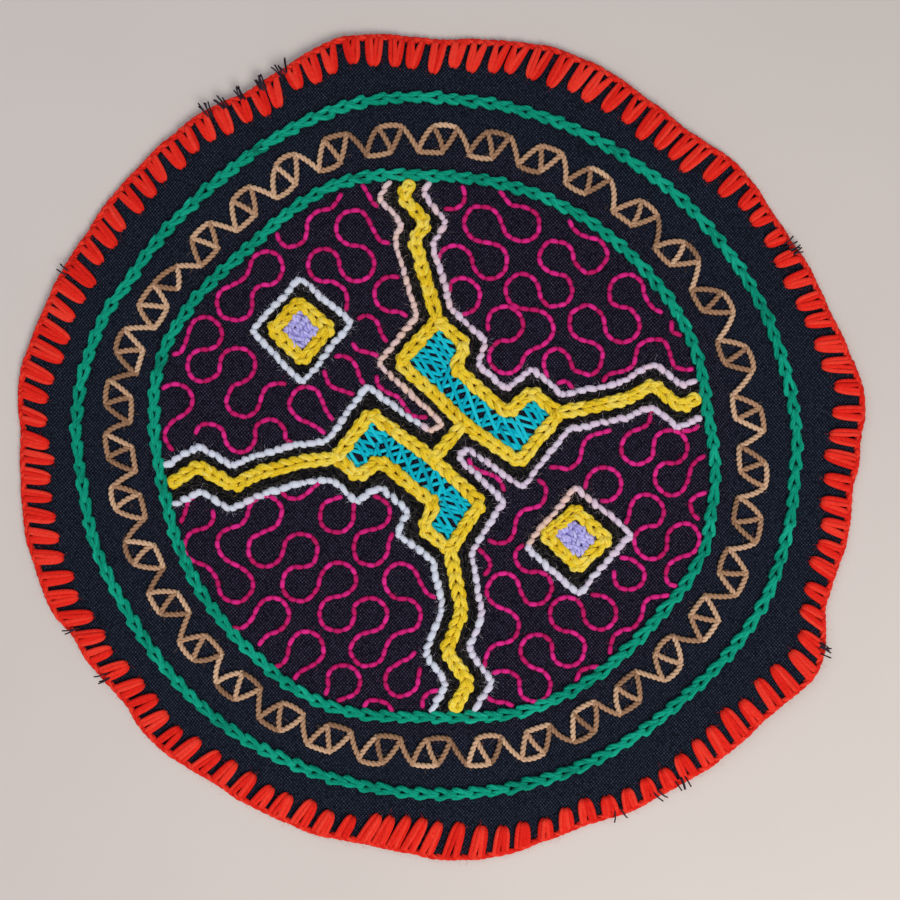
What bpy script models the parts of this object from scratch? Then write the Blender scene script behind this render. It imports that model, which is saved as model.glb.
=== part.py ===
"""A round embroidered altar cloth, as solids with +Z up and the cloth's underside at z = 0.

The cloth is one thin sheet. It lies flat in the middle and lifts a little in places round its
rim. The edging goes round outside it, with its loops on the top face, and each row of yarn is a
low solid laid on that face. Every piece keeps a small clearance to its neighbours. The sizes
below are in millimetres, and the meshes are made in metres.
"""

import math
from collections import namedtuple

import bmesh
import bpy
from mathutils import Vector

METRES_PER_MM = 0.001

CLOTH_THICK = 1.2
CLEARANCE = 0.35
FLAT_RADIUS = 80.0
LIFT_RADIUS = 122.0

# The yarn rows: how wide each is and how high it stands.
GREEN_WIDTH, GREEN_HIGH = 3.4, 1.0
YELLOW_WIDTH, YELLOW_HIGH = 3.9, 1.2
PALE_WIDTH, PALE_HIGH = 1.8, 1.0
TAN_WIDTH, TAN_HIGH = 1.5, 1.0
FILL_HIGH = 0.7
HEART_HIGH = 0.9
# A row's flat top is this share of its width.
ROW_TOP_SHARE = 0.5

# How far from a corner a row of stitches starts to turn, and how far apart two rows meet.
YELLOW_CORNER_CUT, PALE_CORNER_CUT = 1.4, 0.8
ARM_START = 1.9
YELLOW_STOP, PALE_STOP = 1.3, 0.9
END_STEP = 0.05
FILL_CLEARANCE = 0.5

# The edging: a cord round the rim and the loops worked inward from it.
LOOPS = 116
CORD_WIDTH, CORD_HIGH = 2.1, 2.3
LOOP_HIGH = 1.1
LOOP_ROOT_HALF, LOOP_HALF, LOOP_TAPER = 1.8, 1.75, 2.2
LOOP_DEPTH_VARIES, LOOP_BEAT = 0.4, 2.3
# The cord's foot and crest, as shares of its width in from the outline.
CORD_FOOT, CORD_CREST = 0.5, 0.45
CORD_SIDE_HIGH = 0.5

# The cloth's rings of points, as shares of the way from its middle to its rim.
CLOTH_RINGS = (0.64, 0.72, 0.8, 0.9, 1.0)
SHARP_ANGLE = 50.0
MERGE_DISTANCE = 0.01

RimPoint = namedtuple("RimPoint", "angle radius")
# The hand-cut outline, out to the edging: corners and hollows, anticlockwise from +X.
RIM = (
    RimPoint(0, 123.9),
    RimPoint(6, 125.9),
    RimPoint(21, 121.6),
    RimPoint(35, 120.4),
    RimPoint(42, 121.5),
    RimPoint(53, 118.9),
    RimPoint(74, 123.0),
    RimPoint(90, 121.2),
    RimPoint(103, 124.9),
    RimPoint(118, 119.9),
    RimPoint(128, 122.2),
    RimPoint(148, 122.9),
    RimPoint(161, 124.5),
    RimPoint(170, 126.5),
    RimPoint(180, 124.6),
    RimPoint(191, 125.4),
    RimPoint(201, 124.8),
    RimPoint(208, 122.0),
    RimPoint(219, 120.2),
    RimPoint(225, 122.0),
    RimPoint(236, 119.9),
    RimPoint(252, 119.9),
    RimPoint(259, 118.9),
    RimPoint(275, 122.0),
    RimPoint(291, 119.4),
    RimPoint(298, 121.2),
    RimPoint(318, 124.0),
    RimPoint(330, 129.0),
    RimPoint(339, 122.5),
    RimPoint(348, 123.1),
    RimPoint(354, 122.5),
)

RimLift = namedtuple("RimLift", "angle half_width height")
# Where the rim stands off the table in a soft low fold.
RIM_LIFTS = (
    RimLift(14, 20, 1.3),
    RimLift(60, 24, 1.6),
    RimLift(115, 26, 1.9),
    RimLift(160, 18, 1.0),
    RimLift(206, 24, 1.5),
    RimLift(262, 22, 1.2),
    RimLift(322, 24, 1.9),
)

LoopPlace = namedtuple("LoopPlace", "number angle")
# Where the loops' tips come, counted anticlockwise: close together here and wider there.
LOOP_PLACES = (
    LoopPlace(0, 2.2),
    LoopPlace(5, 18.9),
    LoopPlace(12, 42.5),
    LoopPlace(17, 57.5),
    LoopPlace(23, 76.8),
    LoopPlace(29, 94.1),
    LoopPlace(33, 106.0),
    LoopPlace(40, 126.5),
    LoopPlace(57, 179.3),
    LoopPlace(61, 189.8),
    LoopPlace(68, 211.5),
    LoopPlace(76, 236.7),
    LoopPlace(83, 259.9),
    LoopPlace(87, 269.6),
    LoopPlace(96, 298.6),
    LoopPlace(105, 326.4),
    LoopPlace(116, 362.2),
)

LoopForm = namedtuple("LoopForm", "angle lean depth")
# How the loops lie: their lean, clockwise from pointing at the middle, in degrees, and how deep
# they reach from the outline.
LOOP_FORMS = (
    LoopForm(0, 13, 9.8),
    LoopForm(24, 10, 8.8),
    LoopForm(38, 2, 7.5),
    LoopForm(46, 2, 10.8),
    LoopForm(58, 8, 10.1),
    LoopForm(70, 17, 11.0),
    LoopForm(95, 15, 9.8),
    LoopForm(109, 3, 8.5),
    LoopForm(122, 7, 9.4),
    LoopForm(150, 16, 9.4),
    LoopForm(165, 16, 10.6),
    LoopForm(180, 16, 9.1),
    LoopForm(198, 17, 9.7),
    LoopForm(216, 15, 8.7),
    LoopForm(232, 13, 9.5),
    LoopForm(252, 16, 8.3),
    LoopForm(269, 24, 11.2),
    LoopForm(286, 15, 7.7),
    LoopForm(305, 11, 7.3),
    LoopForm(314, 11, 9.8),
    LoopForm(328, 16, 10.5),
    LoopForm(338, 10, 8.1),
)

# The two green rounds, each by its radius from its own middle.
RING_STEPS = 96
RingPoint = namedtuple("RingPoint", "angle radius")
OUTER_MIDDLE = (-1.4, 0.4)
OUTER_RING = (
    RingPoint(0, 106.2),
    RingPoint(20, 104.5),
    RingPoint(40, 102.8),
    RingPoint(57, 101.5),
    RingPoint(80, 102.2),
    RingPoint(102, 103.5),
    RingPoint(132, 101.4),
    RingPoint(150, 102.8),
    RingPoint(160, 105.4),
    RingPoint(173, 106.8),
    RingPoint(190, 105.0),
    RingPoint(213, 103.2),
    RingPoint(230, 103.6),
    RingPoint(260, 102.4),
    RingPoint(295, 103.6),
    RingPoint(312, 103.8),
    RingPoint(336, 107.0),
)
INNER_MIDDLE = (-2.0, 0.7)
INNER_RING = (
    RingPoint(8, 81.1),
    RingPoint(20, 82.0),
    RingPoint(50, 80.3),
    RingPoint(88, 79.4),
    RingPoint(110, 82.2),
    RingPoint(132, 80.1),
    RingPoint(163, 84.7),
    RingPoint(192, 81.1),
    RingPoint(225, 81.6),
    RingPoint(245, 83.2),
    RingPoint(270, 80.4),
    RingPoint(293, 83.1),
    RingPoint(320, 83.1),
    RingPoint(339, 85.4),
    RingPoint(350, 83.7),
)

# The tan zigzag: a ring of slanted boxes between the two green rounds, numbered clockwise.
BOXES = 36
ZIGZAG_SHARE = 0.47
ZIGZAG_RADIUS = 92.0
BoxPlace = namedtuple("BoxPlace", "number angle")
BOX_PLACES = (
    BoxPlace(0, 137.6),
    BoxPlace(8, 58.9),
    BoxPlace(13, 4.6),
    BoxPlace(27, -130.6),
    BoxPlace(31, -170.8),
    BoxPlace(35, -207.5),
)
BoxCorner = namedtuple("BoxCorner", "along outward")
# A box's corners, clockwise along the ring and outward from it.
INNER_BACK = BoxCorner(-7.9, -3.8)
OUTER_BACK = BoxCorner(-3.4, 3.7)
OUTER_FRONT = BoxCorner(3.4, 3.7)
INNER_FRONT = BoxCorner(-0.5, -3.8)
# Where the ring closes there is room for half a box only.
HALF_BOX_ANGLE = 147.2
HALF_BOX_FRONT = BoxCorner(2.9, 1.4)
HALF_BOX_LOW = BoxCorner(-2.5, -3.2)

# The stepped bars, clockwise. An arm or the crosslink leaves from each named corner.
UPPER_BAR = {
    "top": (-1.0, 37.5),
    "top_step": (7.0, 30.0),
    "step_in": (4.0, 23.5),
    "step_low": (19.5, 10.0),
    "step_out": (26.5, 16.5),
    "right": (34.5, 10.0),
    "foot": (23.0, -4.5),
    "link": (6.5, 7.0),
    "waist": (-2.0, 15.5),
    "shoulder": (-12.5, 25.0),
}
LOWER_BAR = {
    "link": (-2.5, -3.5),
    "hip": (11.5, -16.5),
    "bottom": (2.5, -30.0),
    "heel": (-5.5, -24.0),
    "step_in": (-2.0, -17.0),
    "step_high": (-18.0, -4.0),
    "step_out": (-24.5, -8.5),
    "left": (-31.0, -3.0),
    "shoulder": (-21.0, 10.0),
}
# The arms' corners from their bar outward. The last point only gives the way to the ring.
TOP_ARM = ((-3.0, 43.5), (-8.0, 61.0), (-4.5, 66.0), (-11.5, 74.0), (-8.5, 79.0))
RIGHT_ARM = ((54.0, 14.0), (62.5, 18.5), (70.5, 12.0), (76.5, 15.0))
LEFT_ARM = ((-42.0, -4.5), (-54.0, -7.5), (-61.5, -11.5), (-71.5, -5.5), (-79.5, -10.5))
BOTTOM_ARM = ((6.0, -48.5), (1.5, -60.0), (8.0, -69.5), (3.5, -77.5))
PaleRow = namedtuple("PaleRow", "first_arm lower_bar upper_bar last_arm")
# How far each pale row runs from the middle of the yellow ones, stretch by stretch.
PALE_GAPS = {
    "top_left": PaleRow(5.2, 5.9, 4.5, 5.5),
    "top_right": PaleRow(4.8, None, 5.2, 5.2),
    "bottom_right": PaleRow(5.3, 5.4, 5.4, 5.8),
    "bottom_left": PaleRow(5.5, 6.1, None, 6.1),
}

Corners = namedtuple("Corners", "top right bottom left")
Diamond = namedtuple("Diamond", "name pale_row ring_outside heart")
# The two diamonds, as hand-sewn as they are: no side is quite as long as the next.
DIAMONDS = (
    Diamond(
        "upper",
        Corners((-42.0, 50.0), (-26.5, 37.0), (-41.0, 19.0), (-56.0, 34.0)),
        Corners((-42.0, 44.5), (-31.5, 35.5), (-40.5, 24.0), (-51.5, 34.5)),
        Corners((-42.5, 40.0), (-36.0, 34.5), (-41.5, 29.0), (-46.5, 34.5)),
    ),
    Diamond(
        "lower",
        Corners((39.5, -11.5), (56.0, -25.5), (40.5, -43.5), (25.0, -29.5)),
        Corners((40.0, -17.0), (50.5, -26.5), (40.5, -37.0), (29.0, -26.5)),
        Corners((38.5, -21.5), (45.5, -27.5), (40.5, -32.5), (33.5, -25.5)),
    ),
)

Yarn = namedtuple("Yarn", "name colour roughness")
BLACK_COTTON = Yarn("black_cotton", (0.012, 0.012, 0.02), 0.9)
SCARLET = Yarn("scarlet_yarn", (0.85, 0.02, 0.006), 0.8)
GREEN = Yarn("green_yarn", (0.002, 0.34, 0.18), 0.8)
TAN = Yarn("tan_cord", (0.5, 0.26, 0.12), 0.8)
YELLOW = Yarn("yellow_yarn", (0.86, 0.56, 0.01), 0.8)
TURQUOISE = Yarn("turquoise_thread", (0.0, 0.42, 0.48), 0.7)
PALE = Yarn("pale_yarn", (0.74, 0.72, 0.78), 0.8)
LAVENDER = Yarn("lavender_yarn", (0.36, 0.33, 0.74), 0.8)


def eased(share):
    """A share from 0 to 1 with a soft start and a soft end."""
    share = min(1.0, max(0.0, share))
    return share * share * (3 - 2 * share)


def around(rows, column, angle):
    """A column of a table of angles, eased from row to row all the way round."""
    for here, there in zip(rows, rows[1:] + rows[:1]):
        span = (there.angle - here.angle) % 360
        past = (angle - here.angle) % 360
        if past < span:
            start, end = getattr(here, column), getattr(there, column)
            return start + (end - start) * eased(past / span)


def bumps(rows, angle):
    """The height that a table's bumps have at an angle: a cosine hump for each row."""
    total = 0.0
    for row in rows:
        away = abs((angle - row.angle + 180) % 360 - 180)
        if away < row.half_width:
            total += row.height * (1 + math.cos(math.pi * away / row.half_width)) / 2
    return total


def polar(middle, angle, radius):
    turn = math.radians(angle)
    return Vector((middle[0] + radius * math.cos(turn), middle[1] + radius * math.sin(turn)))


def box_middle():
    """The middle of the outline's box, which becomes the origin."""
    points = [polar((0, 0), angle, around(RIM, "radius", angle)) for angle in range(360)]
    across, along = [p.x for p in points], [p.y for p in points]
    return Vector(((min(across) + max(across)) / 2, (min(along) + max(along)) / 2))


BOX_MIDDLE = box_middle()


def rim_point(angle, inset):
    """A point of the outline, or that far inside it."""
    return polar((0, 0), angle, around(RIM, "radius", angle) - inset) - BOX_MIDDLE


def lift(x, y):
    """How high the cloth's underside stands off the table."""
    share = (math.hypot(x, y) - FLAT_RADIUS) / (LIFT_RADIUS - FLAT_RADIUS)
    return eased(share) * bumps(RIM_LIFTS, math.degrees(math.atan2(y, x)))


def placed(point, height):
    """A point that high above the cloth's underside, in metres."""
    x, y = point
    return Vector((x, y, lift(x, y) + height)) * METRES_PER_MM


def counted(rows, number):
    """The angle that belongs to a number, in straight steps between a table's rows."""
    for here, there in zip(rows, rows[1:]):
        if number <= there.number:
            break
    share = (number - here.number) / (there.number - here.number)
    return here.angle + (there.angle - here.angle) * share


def beside(line, offset, closed):
    """The line moved to its left with mitred corners. The offset is one number or one a point."""
    offsets = offset if isinstance(offset, list) else [offset] * len(line)
    moved = []
    for i, point in enumerate(line):
        before = line[i - 1] if closed or i else None
        after = line[(i + 1) % len(line)] if closed or i + 1 < len(line) else None
        ways = [(point - before).normalized()] if before is not None else []
        ways += [(after - point).normalized()] if after is not None else []
        normals = [Vector((-way.y, way.x)) for way in ways]
        mean = sum(normals, Vector((0, 0))).normalized()
        moved.append(point + mean * (offsets[i] / mean.dot(normals[0])))
    return moved


def softened(line, cut, closed):
    """The line with its corners cut off, as a row of stitches turns them."""
    soft = []
    for i, point in enumerate(line):
        if not closed and i in (0, len(line) - 1):
            soft.append(point)
            continue
        before, after = line[i - 1], line[(i + 1) % len(line)]
        soft.append(point + (before - point).normalized() * cut)
        soft.append(point + (after - point).normalized() * cut)
    return soft


def material_for(yarn):
    """A plain material of the yarn's colour, made once."""
    if yarn.name in bpy.data.materials:
        return bpy.data.materials[yarn.name]
    material = bpy.data.materials.new(yarn.name)
    material.use_nodes = True
    material.diffuse_color = (*yarn.colour, 1)
    shader = material.node_tree.nodes["Principled BSDF"]
    shader.inputs["Base Color"].default_value = (*yarn.colour, 1)
    shader.inputs["Roughness"].default_value = yarn.roughness
    shader.inputs["Metallic"].default_value = 0
    return material


def add_object(name, shape, yarn):
    """Turns a finished shape outward and makes it an object of the cloth's collection."""
    bmesh.ops.recalc_face_normals(shape, faces=shape.faces)
    mesh = bpy.data.meshes.new(name)
    shape.to_mesh(mesh)
    shape.free()
    mesh.materials.append(material_for(yarn))
    mesh.shade_smooth()
    mesh.set_sharp_from_angle(angle=math.radians(SHARP_ANGLE))
    bpy.data.collections["altar_cloth"].objects.link(bpy.data.objects.new(name, mesh))


def loft(name, sections, closed, yarn):
    """A solid through like rings of points, joined end to end or capped at its two ends."""
    shape = bmesh.new()
    rings = [[shape.verts.new(point) for point in section] for section in sections]
    following = rings[1:] + (rings[:1] if closed else [])
    for ring, other in zip(rings, following):
        for i in range(len(ring)):
            j = (i + 1) % len(ring)
            shape.faces.new((ring[i], ring[j], other[j], other[i]))
    if not closed:
        shape.faces.new(rings[0])
        shape.faces.new(rings[-1])
    add_object(name, shape, yarn)


def flat_piece(name, outlines, high, yarn):
    """A flat solid between closed outlines, laid on the cloth's top face."""
    curve = bpy.data.curves.new(name, "CURVE")
    curve.dimensions = "2D"
    curve.fill_mode = "BOTH"
    curve.extrude = high / 2
    for outline in outlines:
        spline = curve.splines.new("POLY")
        spline.points.add(len(outline) - 1)
        for spot, point in zip(spline.points, outline):
            spot.co = (point.x, point.y, 0, 1)
        spline.use_cyclic_u = True
    drawn = bpy.data.objects.new(name, curve)
    bpy.context.scene.collection.objects.link(drawn)
    seen = drawn.evaluated_get(bpy.context.evaluated_depsgraph_get())
    filled = bpy.data.meshes.new_from_object(seen)
    bpy.data.curves.remove(curve)
    shape = bmesh.new()
    shape.from_mesh(filled)
    bpy.data.meshes.remove(filled)
    bmesh.ops.remove_doubles(shape, verts=shape.verts, dist=MERGE_DISTANCE)
    for vert in shape.verts:
        above = CLOTH_THICK + CLEARANCE + high / 2 + vert.co.z
        vert.co = placed(vert.co.xy, above)
    add_object(name, shape, yarn)


def yarn_row(name, line, width, high, closed, yarn):
    """A low row of yarn along a line, on the cloth's top face: wide below and narrower on top."""
    floor = CLOTH_THICK + CLEARANCE
    edges = (
        (beside(line, width / 2, closed), floor),
        (beside(line, width / 2 * ROW_TOP_SHARE, closed), floor + high),
        (beside(line, -width / 2 * ROW_TOP_SHARE, closed), floor + high),
        (beside(line, -width / 2, closed), floor),
    )
    sections = [[placed(edge[i], above) for edge, above in edges] for i in range(len(line))]
    loft(name, sections, closed, yarn)


def add_cloth():
    """The cotton sheet: rings of points out along its underside and back along its top face."""
    cut = CORD_WIDTH + CLEARANCE
    angles = [360 * k / LOOPS for k in range(LOOPS)]
    rings = [(share, 0.0) for share in CLOTH_RINGS]
    rings += [(share, CLOTH_THICK) for share in reversed(CLOTH_RINGS)]
    sections = []
    for share, above in rings:
        section = [placed(rim_point(angle, cut) * share, above) for angle in angles]
        sections.append(section)
    loft("cloth", sections, False, BLACK_COTTON)


def edging_section(angle, tip_top, tip_low):
    """The cord's outline at an angle, with the loop's two tip points in it."""
    floor = CLOTH_THICK + CLEARANCE
    return [
        placed(rim_point(angle, CORD_WIDTH * CORD_FOOT), 0),
        placed(rim_point(angle, 0), CORD_HIGH * CORD_SIDE_HIGH),
        placed(rim_point(angle, CORD_WIDTH * CORD_CREST), CORD_HIGH),
        placed(tip_top, floor + LOOP_HIGH),
        placed(tip_low, floor),
        placed(rim_point(angle, CORD_WIDTH), floor),
    ]


def add_edging():
    """The cord and its loops as one solid: three sections for each loop and one for the gap."""
    roots = []
    for k in range(LOOPS):
        tip_angle = counted(LOOP_PLACES, k)
        lean = math.radians(around(LOOP_FORMS, "lean", tip_angle))
        depth = around(LOOP_FORMS, "depth", tip_angle) - CORD_WIDTH
        depth += LOOP_DEPTH_VARIES * math.sin(LOOP_BEAT * k)
        angle = tip_angle - math.degrees(depth * math.tan(lean) / LIFT_RADIUS)
        roots.append((angle, lean, depth / math.cos(lean)))
    sections = []
    for (angle, lean, length), (next_angle, _, _) in zip(roots, roots[1:] + roots[:1]):
        root = rim_point(angle, CORD_WIDTH)
        turn = math.radians(angle + 180) - lean
        inward = Vector((math.cos(turn), math.sin(turn)))
        sideways = Vector((-inward.y, inward.x))
        for side in (1, 0, -1):
            tip = root + inward * (length - abs(side) * LOOP_TAPER)
            tip += sideways * (side * LOOP_HALF)
            at = angle - side * math.degrees(LOOP_ROOT_HALF / LIFT_RADIUS)
            sections.append(edging_section(at, tip - inward * CLEARANCE, tip))
        gap_angle = angle + ((next_angle - angle) % 360) / 2
        gap_top = rim_point(gap_angle, CORD_WIDTH - CLEARANCE)
        gap_low = rim_point(gap_angle, CORD_WIDTH + CLEARANCE)
        sections.append(edging_section(gap_angle, gap_top, gap_low))
    loft("edging", sections, True, SCARLET)


def outer_round(angle):
    return polar(OUTER_MIDDLE, angle, around(OUTER_RING, "radius", angle))


def inner_round(angle):
    return polar(INNER_MIDDLE, angle, around(INNER_RING, "radius", angle))


def add_rings():
    """The two rounds of green chain stitch."""
    angles = [360 * k / RING_STEPS for k in range(RING_STEPS)]
    for name, round_at in (("outer_ring", outer_round), ("inner_ring", inner_round)):
        line = [round_at(angle) for angle in angles]
        yarn_row(name, line, GREEN_WIDTH, GREEN_HIGH, True, GREEN)


def box_corner(box_angle, corner):
    """Where a corner of the zigzag's box comes between the two green rounds."""
    angle = box_angle - math.degrees(corner.along / ZIGZAG_RADIUS)
    inner, outer = inner_round(angle), outer_round(angle)
    outward = (outer - inner).normalized()
    return inner.lerp(outer, ZIGZAG_SHARE) + outward * corner.outward


def add_zigzag():
    """The tan cord: slanted boxes with a cross stroke, linked in a ring that ends on half a box."""
    outer, inner, holes = [], [], []
    for k in range(BOXES):
        angle = counted(BOX_PLACES, k)
        inner_back, outer_back = box_corner(angle, INNER_BACK), box_corner(angle, OUTER_BACK)
        inner_front, outer_front = box_corner(angle, INNER_FRONT), box_corner(angle, OUTER_FRONT)
        outer += [inner_back, outer_back, outer_front]
        inner += [inner_back, inner_front, outer_front]
        holes.append([inner_back, outer_back, inner_front])
        holes.append([outer_back, outer_front, inner_front])
    half_front = box_corner(HALF_BOX_ANGLE, HALF_BOX_FRONT)
    half_low = box_corner(HALF_BOX_ANGLE, HALF_BOX_LOW)
    holes.append([outer[-1], half_front, half_low])
    outer += [half_front]
    inner += [half_low, half_front]
    outlines = [beside(outer, TAN_WIDTH / 2, True), beside(inner, -TAN_WIDTH / 2, True)]
    outlines += [beside(hole, -TAN_WIDTH / 2, True) for hole in holes]
    flat_piece("zigzag_ring", outlines, TAN_HIGH, TAN)


def inside_ring(point, stop):
    """Whether a point lies inside the inner green round by more than that."""
    spot = point - Vector(INNER_MIDDLE)
    angle = math.degrees(math.atan2(spot.y, spot.x))
    return spot.length < around(INNER_RING, "radius", angle) - GREEN_WIDTH / 2 - stop


def cut_at_ring(line, stop):
    """The line with its last stretch made to end that far inside the inner green round."""
    start, end = line[-2:]
    way = (end - start).normalized()
    reach = 0.0
    while inside_ring(start + way * reach, stop):
        reach += END_STEP
    return line[:-1] + [start + way * reach]


def points_of(bar, *names):
    return [Vector(bar[name]) for name in names]


def arm_line(corner, arm):
    return [Vector(corner)] + [Vector(point) for point in arm]


def add_bars():
    """The yellow outlines of the two bars, their turquoise fills and the crosslink."""
    for name, bar in (("upper", UPPER_BAR), ("lower", LOWER_BAR)):
        line = points_of(bar, *bar)
        row = softened(line, YELLOW_CORNER_CUT, True)
        yarn_row(f"{name}_bar", row, YELLOW_WIDTH, YELLOW_HIGH, True, YELLOW)
        inside = beside(line, -YELLOW_WIDTH / 2 - FILL_CLEARANCE, True)
        flat_piece(f"{name}_fill", [inside], FILL_HIGH, TURQUOISE)
    start, end = Vector(UPPER_BAR["link"]), Vector(LOWER_BAR["link"])
    way = (end - start).normalized() * (YELLOW_WIDTH / 2 + CLEARANCE * 2)
    yarn_row("crosslink", [start + way, end - way], YELLOW_WIDTH, YELLOW_HIGH, False, YELLOW)


def add_arms():
    """The four yellow arms, each from a bar's corner nearly to the inner ring."""
    arms = (
        ("top_arm", UPPER_BAR["top"], TOP_ARM),
        ("right_arm", UPPER_BAR["right"], RIGHT_ARM),
        ("left_arm", LOWER_BAR["left"], LEFT_ARM),
        ("bottom_arm", LOWER_BAR["bottom"], BOTTOM_ARM),
    )
    for name, corner, arm in arms:
        line = cut_at_ring(arm_line(corner, arm), YELLOW_STOP)
        line[0] += (line[1] - line[0]).normalized() * ARM_START
        row = softened(line, YELLOW_CORNER_CUT, False)
        yarn_row(name, row, YELLOW_WIDTH, YELLOW_HIGH, False, YELLOW)


def pale_routes():
    """For each pale row, the yellow stretches that it follows: in by one arm and out by the next."""
    top = arm_line(UPPER_BAR["top"], TOP_ARM)
    right = arm_line(UPPER_BAR["right"], RIGHT_ARM)
    left = arm_line(LOWER_BAR["left"], LEFT_ARM)
    bottom = arm_line(LOWER_BAR["bottom"], BOTTOM_ARM)
    return {
        "top_left": (
            ("first_arm", left[::-1]),
            ("lower_bar", points_of(LOWER_BAR, "shoulder", "link")),
            ("upper_bar", points_of(UPPER_BAR, "link", "waist", "shoulder")),
            ("last_arm", top),
        ),
        "top_right": (
            ("first_arm", top[::-1]),
            ("upper_bar", points_of(UPPER_BAR, "top_step", "step_in", "step_low", "step_out")),
            ("last_arm", right),
        ),
        "bottom_right": (
            ("first_arm", right[::-1]),
            ("upper_bar", points_of(UPPER_BAR, "foot", "link")),
            ("lower_bar", points_of(LOWER_BAR, "link", "hip")),
            ("last_arm", bottom),
        ),
        "bottom_left": (
            ("first_arm", bottom[::-1]),
            ("lower_bar", points_of(LOWER_BAR, "heel", "step_in", "step_high", "step_out")),
            ("last_arm", left),
        ),
    }


def add_pale_rows():
    """The four pale rows, which run beside the yellow ones and end at the inner ring."""
    for name, stretches in pale_routes().items():
        route, gaps = [], []
        for stretch, points in stretches:
            route += points
            gaps += [getattr(PALE_GAPS[name], stretch)] * len(points)
        line = cut_at_ring(beside(route, gaps, False), PALE_STOP)
        line = cut_at_ring(line[::-1], PALE_STOP)
        row = softened(line, PALE_CORNER_CUT, False)
        yarn_row(f"outline_{name}", row, PALE_WIDTH, PALE_HIGH, False, PALE)


def add_diamonds():
    """The two diamonds: a pale outline, a yellow ring inside it and a lavender heart."""
    for diamond in DIAMONDS:
        pale_row, outside, heart = ([Vector(point) for point in part] for part in diamond[1:])
        row = softened(pale_row, PALE_CORNER_CUT, True)
        yarn_row(f"{diamond.name}_diamond", row, PALE_WIDTH, PALE_HIGH, True, PALE)
        inside = beside(heart, CLEARANCE, True)
        rim = softened(outside, YELLOW_CORNER_CUT, True)
        flat_piece(f"{diamond.name}_ring", [rim, inside], YELLOW_HIGH, YELLOW)
        flat_piece(f"{diamond.name}_heart", [heart], HEART_HIGH, LAVENDER)


def main():
    for old in list(bpy.data.objects):
        bpy.data.objects.remove(old)
    bpy.context.scene.collection.children.link(bpy.data.collections.new("altar_cloth"))
    add_cloth()
    add_edging()
    add_rings()
    add_zigzag()
    add_bars()
    add_arms()
    add_pale_rows()
    add_diamonds()


main()
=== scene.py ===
"""The looks of a round embroidered altar cloth, stitched onto its fixed solids.

Every stitch is a real strand of yarn: a tube along a path of its own. Paths are worked out in
millimetres, with x and y in the cloth's frame and z the height above the cloth's top face, and
the meshes are made in metres. The tables of places are those of the solids.
"""

import math
from collections import namedtuple

import bpy
import numpy as np
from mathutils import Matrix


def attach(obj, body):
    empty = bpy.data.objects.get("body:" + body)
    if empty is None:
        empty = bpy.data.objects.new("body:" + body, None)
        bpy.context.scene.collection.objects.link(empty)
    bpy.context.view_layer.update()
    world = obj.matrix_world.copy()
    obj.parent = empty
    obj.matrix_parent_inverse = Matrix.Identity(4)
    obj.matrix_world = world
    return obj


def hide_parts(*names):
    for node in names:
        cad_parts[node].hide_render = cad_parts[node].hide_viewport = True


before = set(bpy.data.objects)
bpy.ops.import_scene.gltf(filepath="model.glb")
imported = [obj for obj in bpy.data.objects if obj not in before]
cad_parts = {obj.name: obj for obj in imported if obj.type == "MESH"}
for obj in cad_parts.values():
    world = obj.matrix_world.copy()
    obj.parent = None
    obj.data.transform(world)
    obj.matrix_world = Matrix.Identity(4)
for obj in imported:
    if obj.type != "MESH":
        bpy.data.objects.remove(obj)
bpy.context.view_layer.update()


def table(columns, *rows):
    """Rows of values with named columns."""
    row_of = namedtuple("Row", columns)
    return tuple(row_of(*row) for row in rows)


def corners_of(bar, *names):
    """Some of a bar's corners."""
    return tuple(bar[name] for name in names)


def srgb(red, green, blue):
    """A colour as a screen shows it, from 0 to 255, in linear light."""
    return tuple(
        c / 12.92 if c <= 0.04045 else ((c + 0.055) / 1.055) ** 2.4
        for c in (red / 255, green / 255, blue / 255)
    )


METRES_PER_MM = 0.001
UP = np.array((0.0, 0.0, 1.0))
FULL_TURN = 2 * np.pi

# The camera and the lights, in metres.
CAMERA_PLACE = (0.0025, -0.0008, 0.37075)
CAMERA_LENS, CAMERA_SENSOR = 50, 36
Light = namedtuple("Light", "name place size power colour")
LIGHTS = (
    Light("key", (0.3, -0.55, 0.8), 0.5, 7.5, (1.0, 0.95, 0.9)),
    Light("fill", (-0.5, 0.4, 0.8), 0.8, 2.6, (0.9, 0.95, 1.0)),
)
SURROUND_COLOUR, SURROUND_STRENGTH = (0.93, 0.95, 1.0), 0.28
FLOOR_HALF_SIZE = 6000.0
FLOOR_COLOURS = (srgb(206, 197, 192), srgb(214, 206, 201))

Yarn = namedtuple("Yarn", "name deep middle light shadow fibre depth", defaults=(0.2, 12.0, 0.12))
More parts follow.
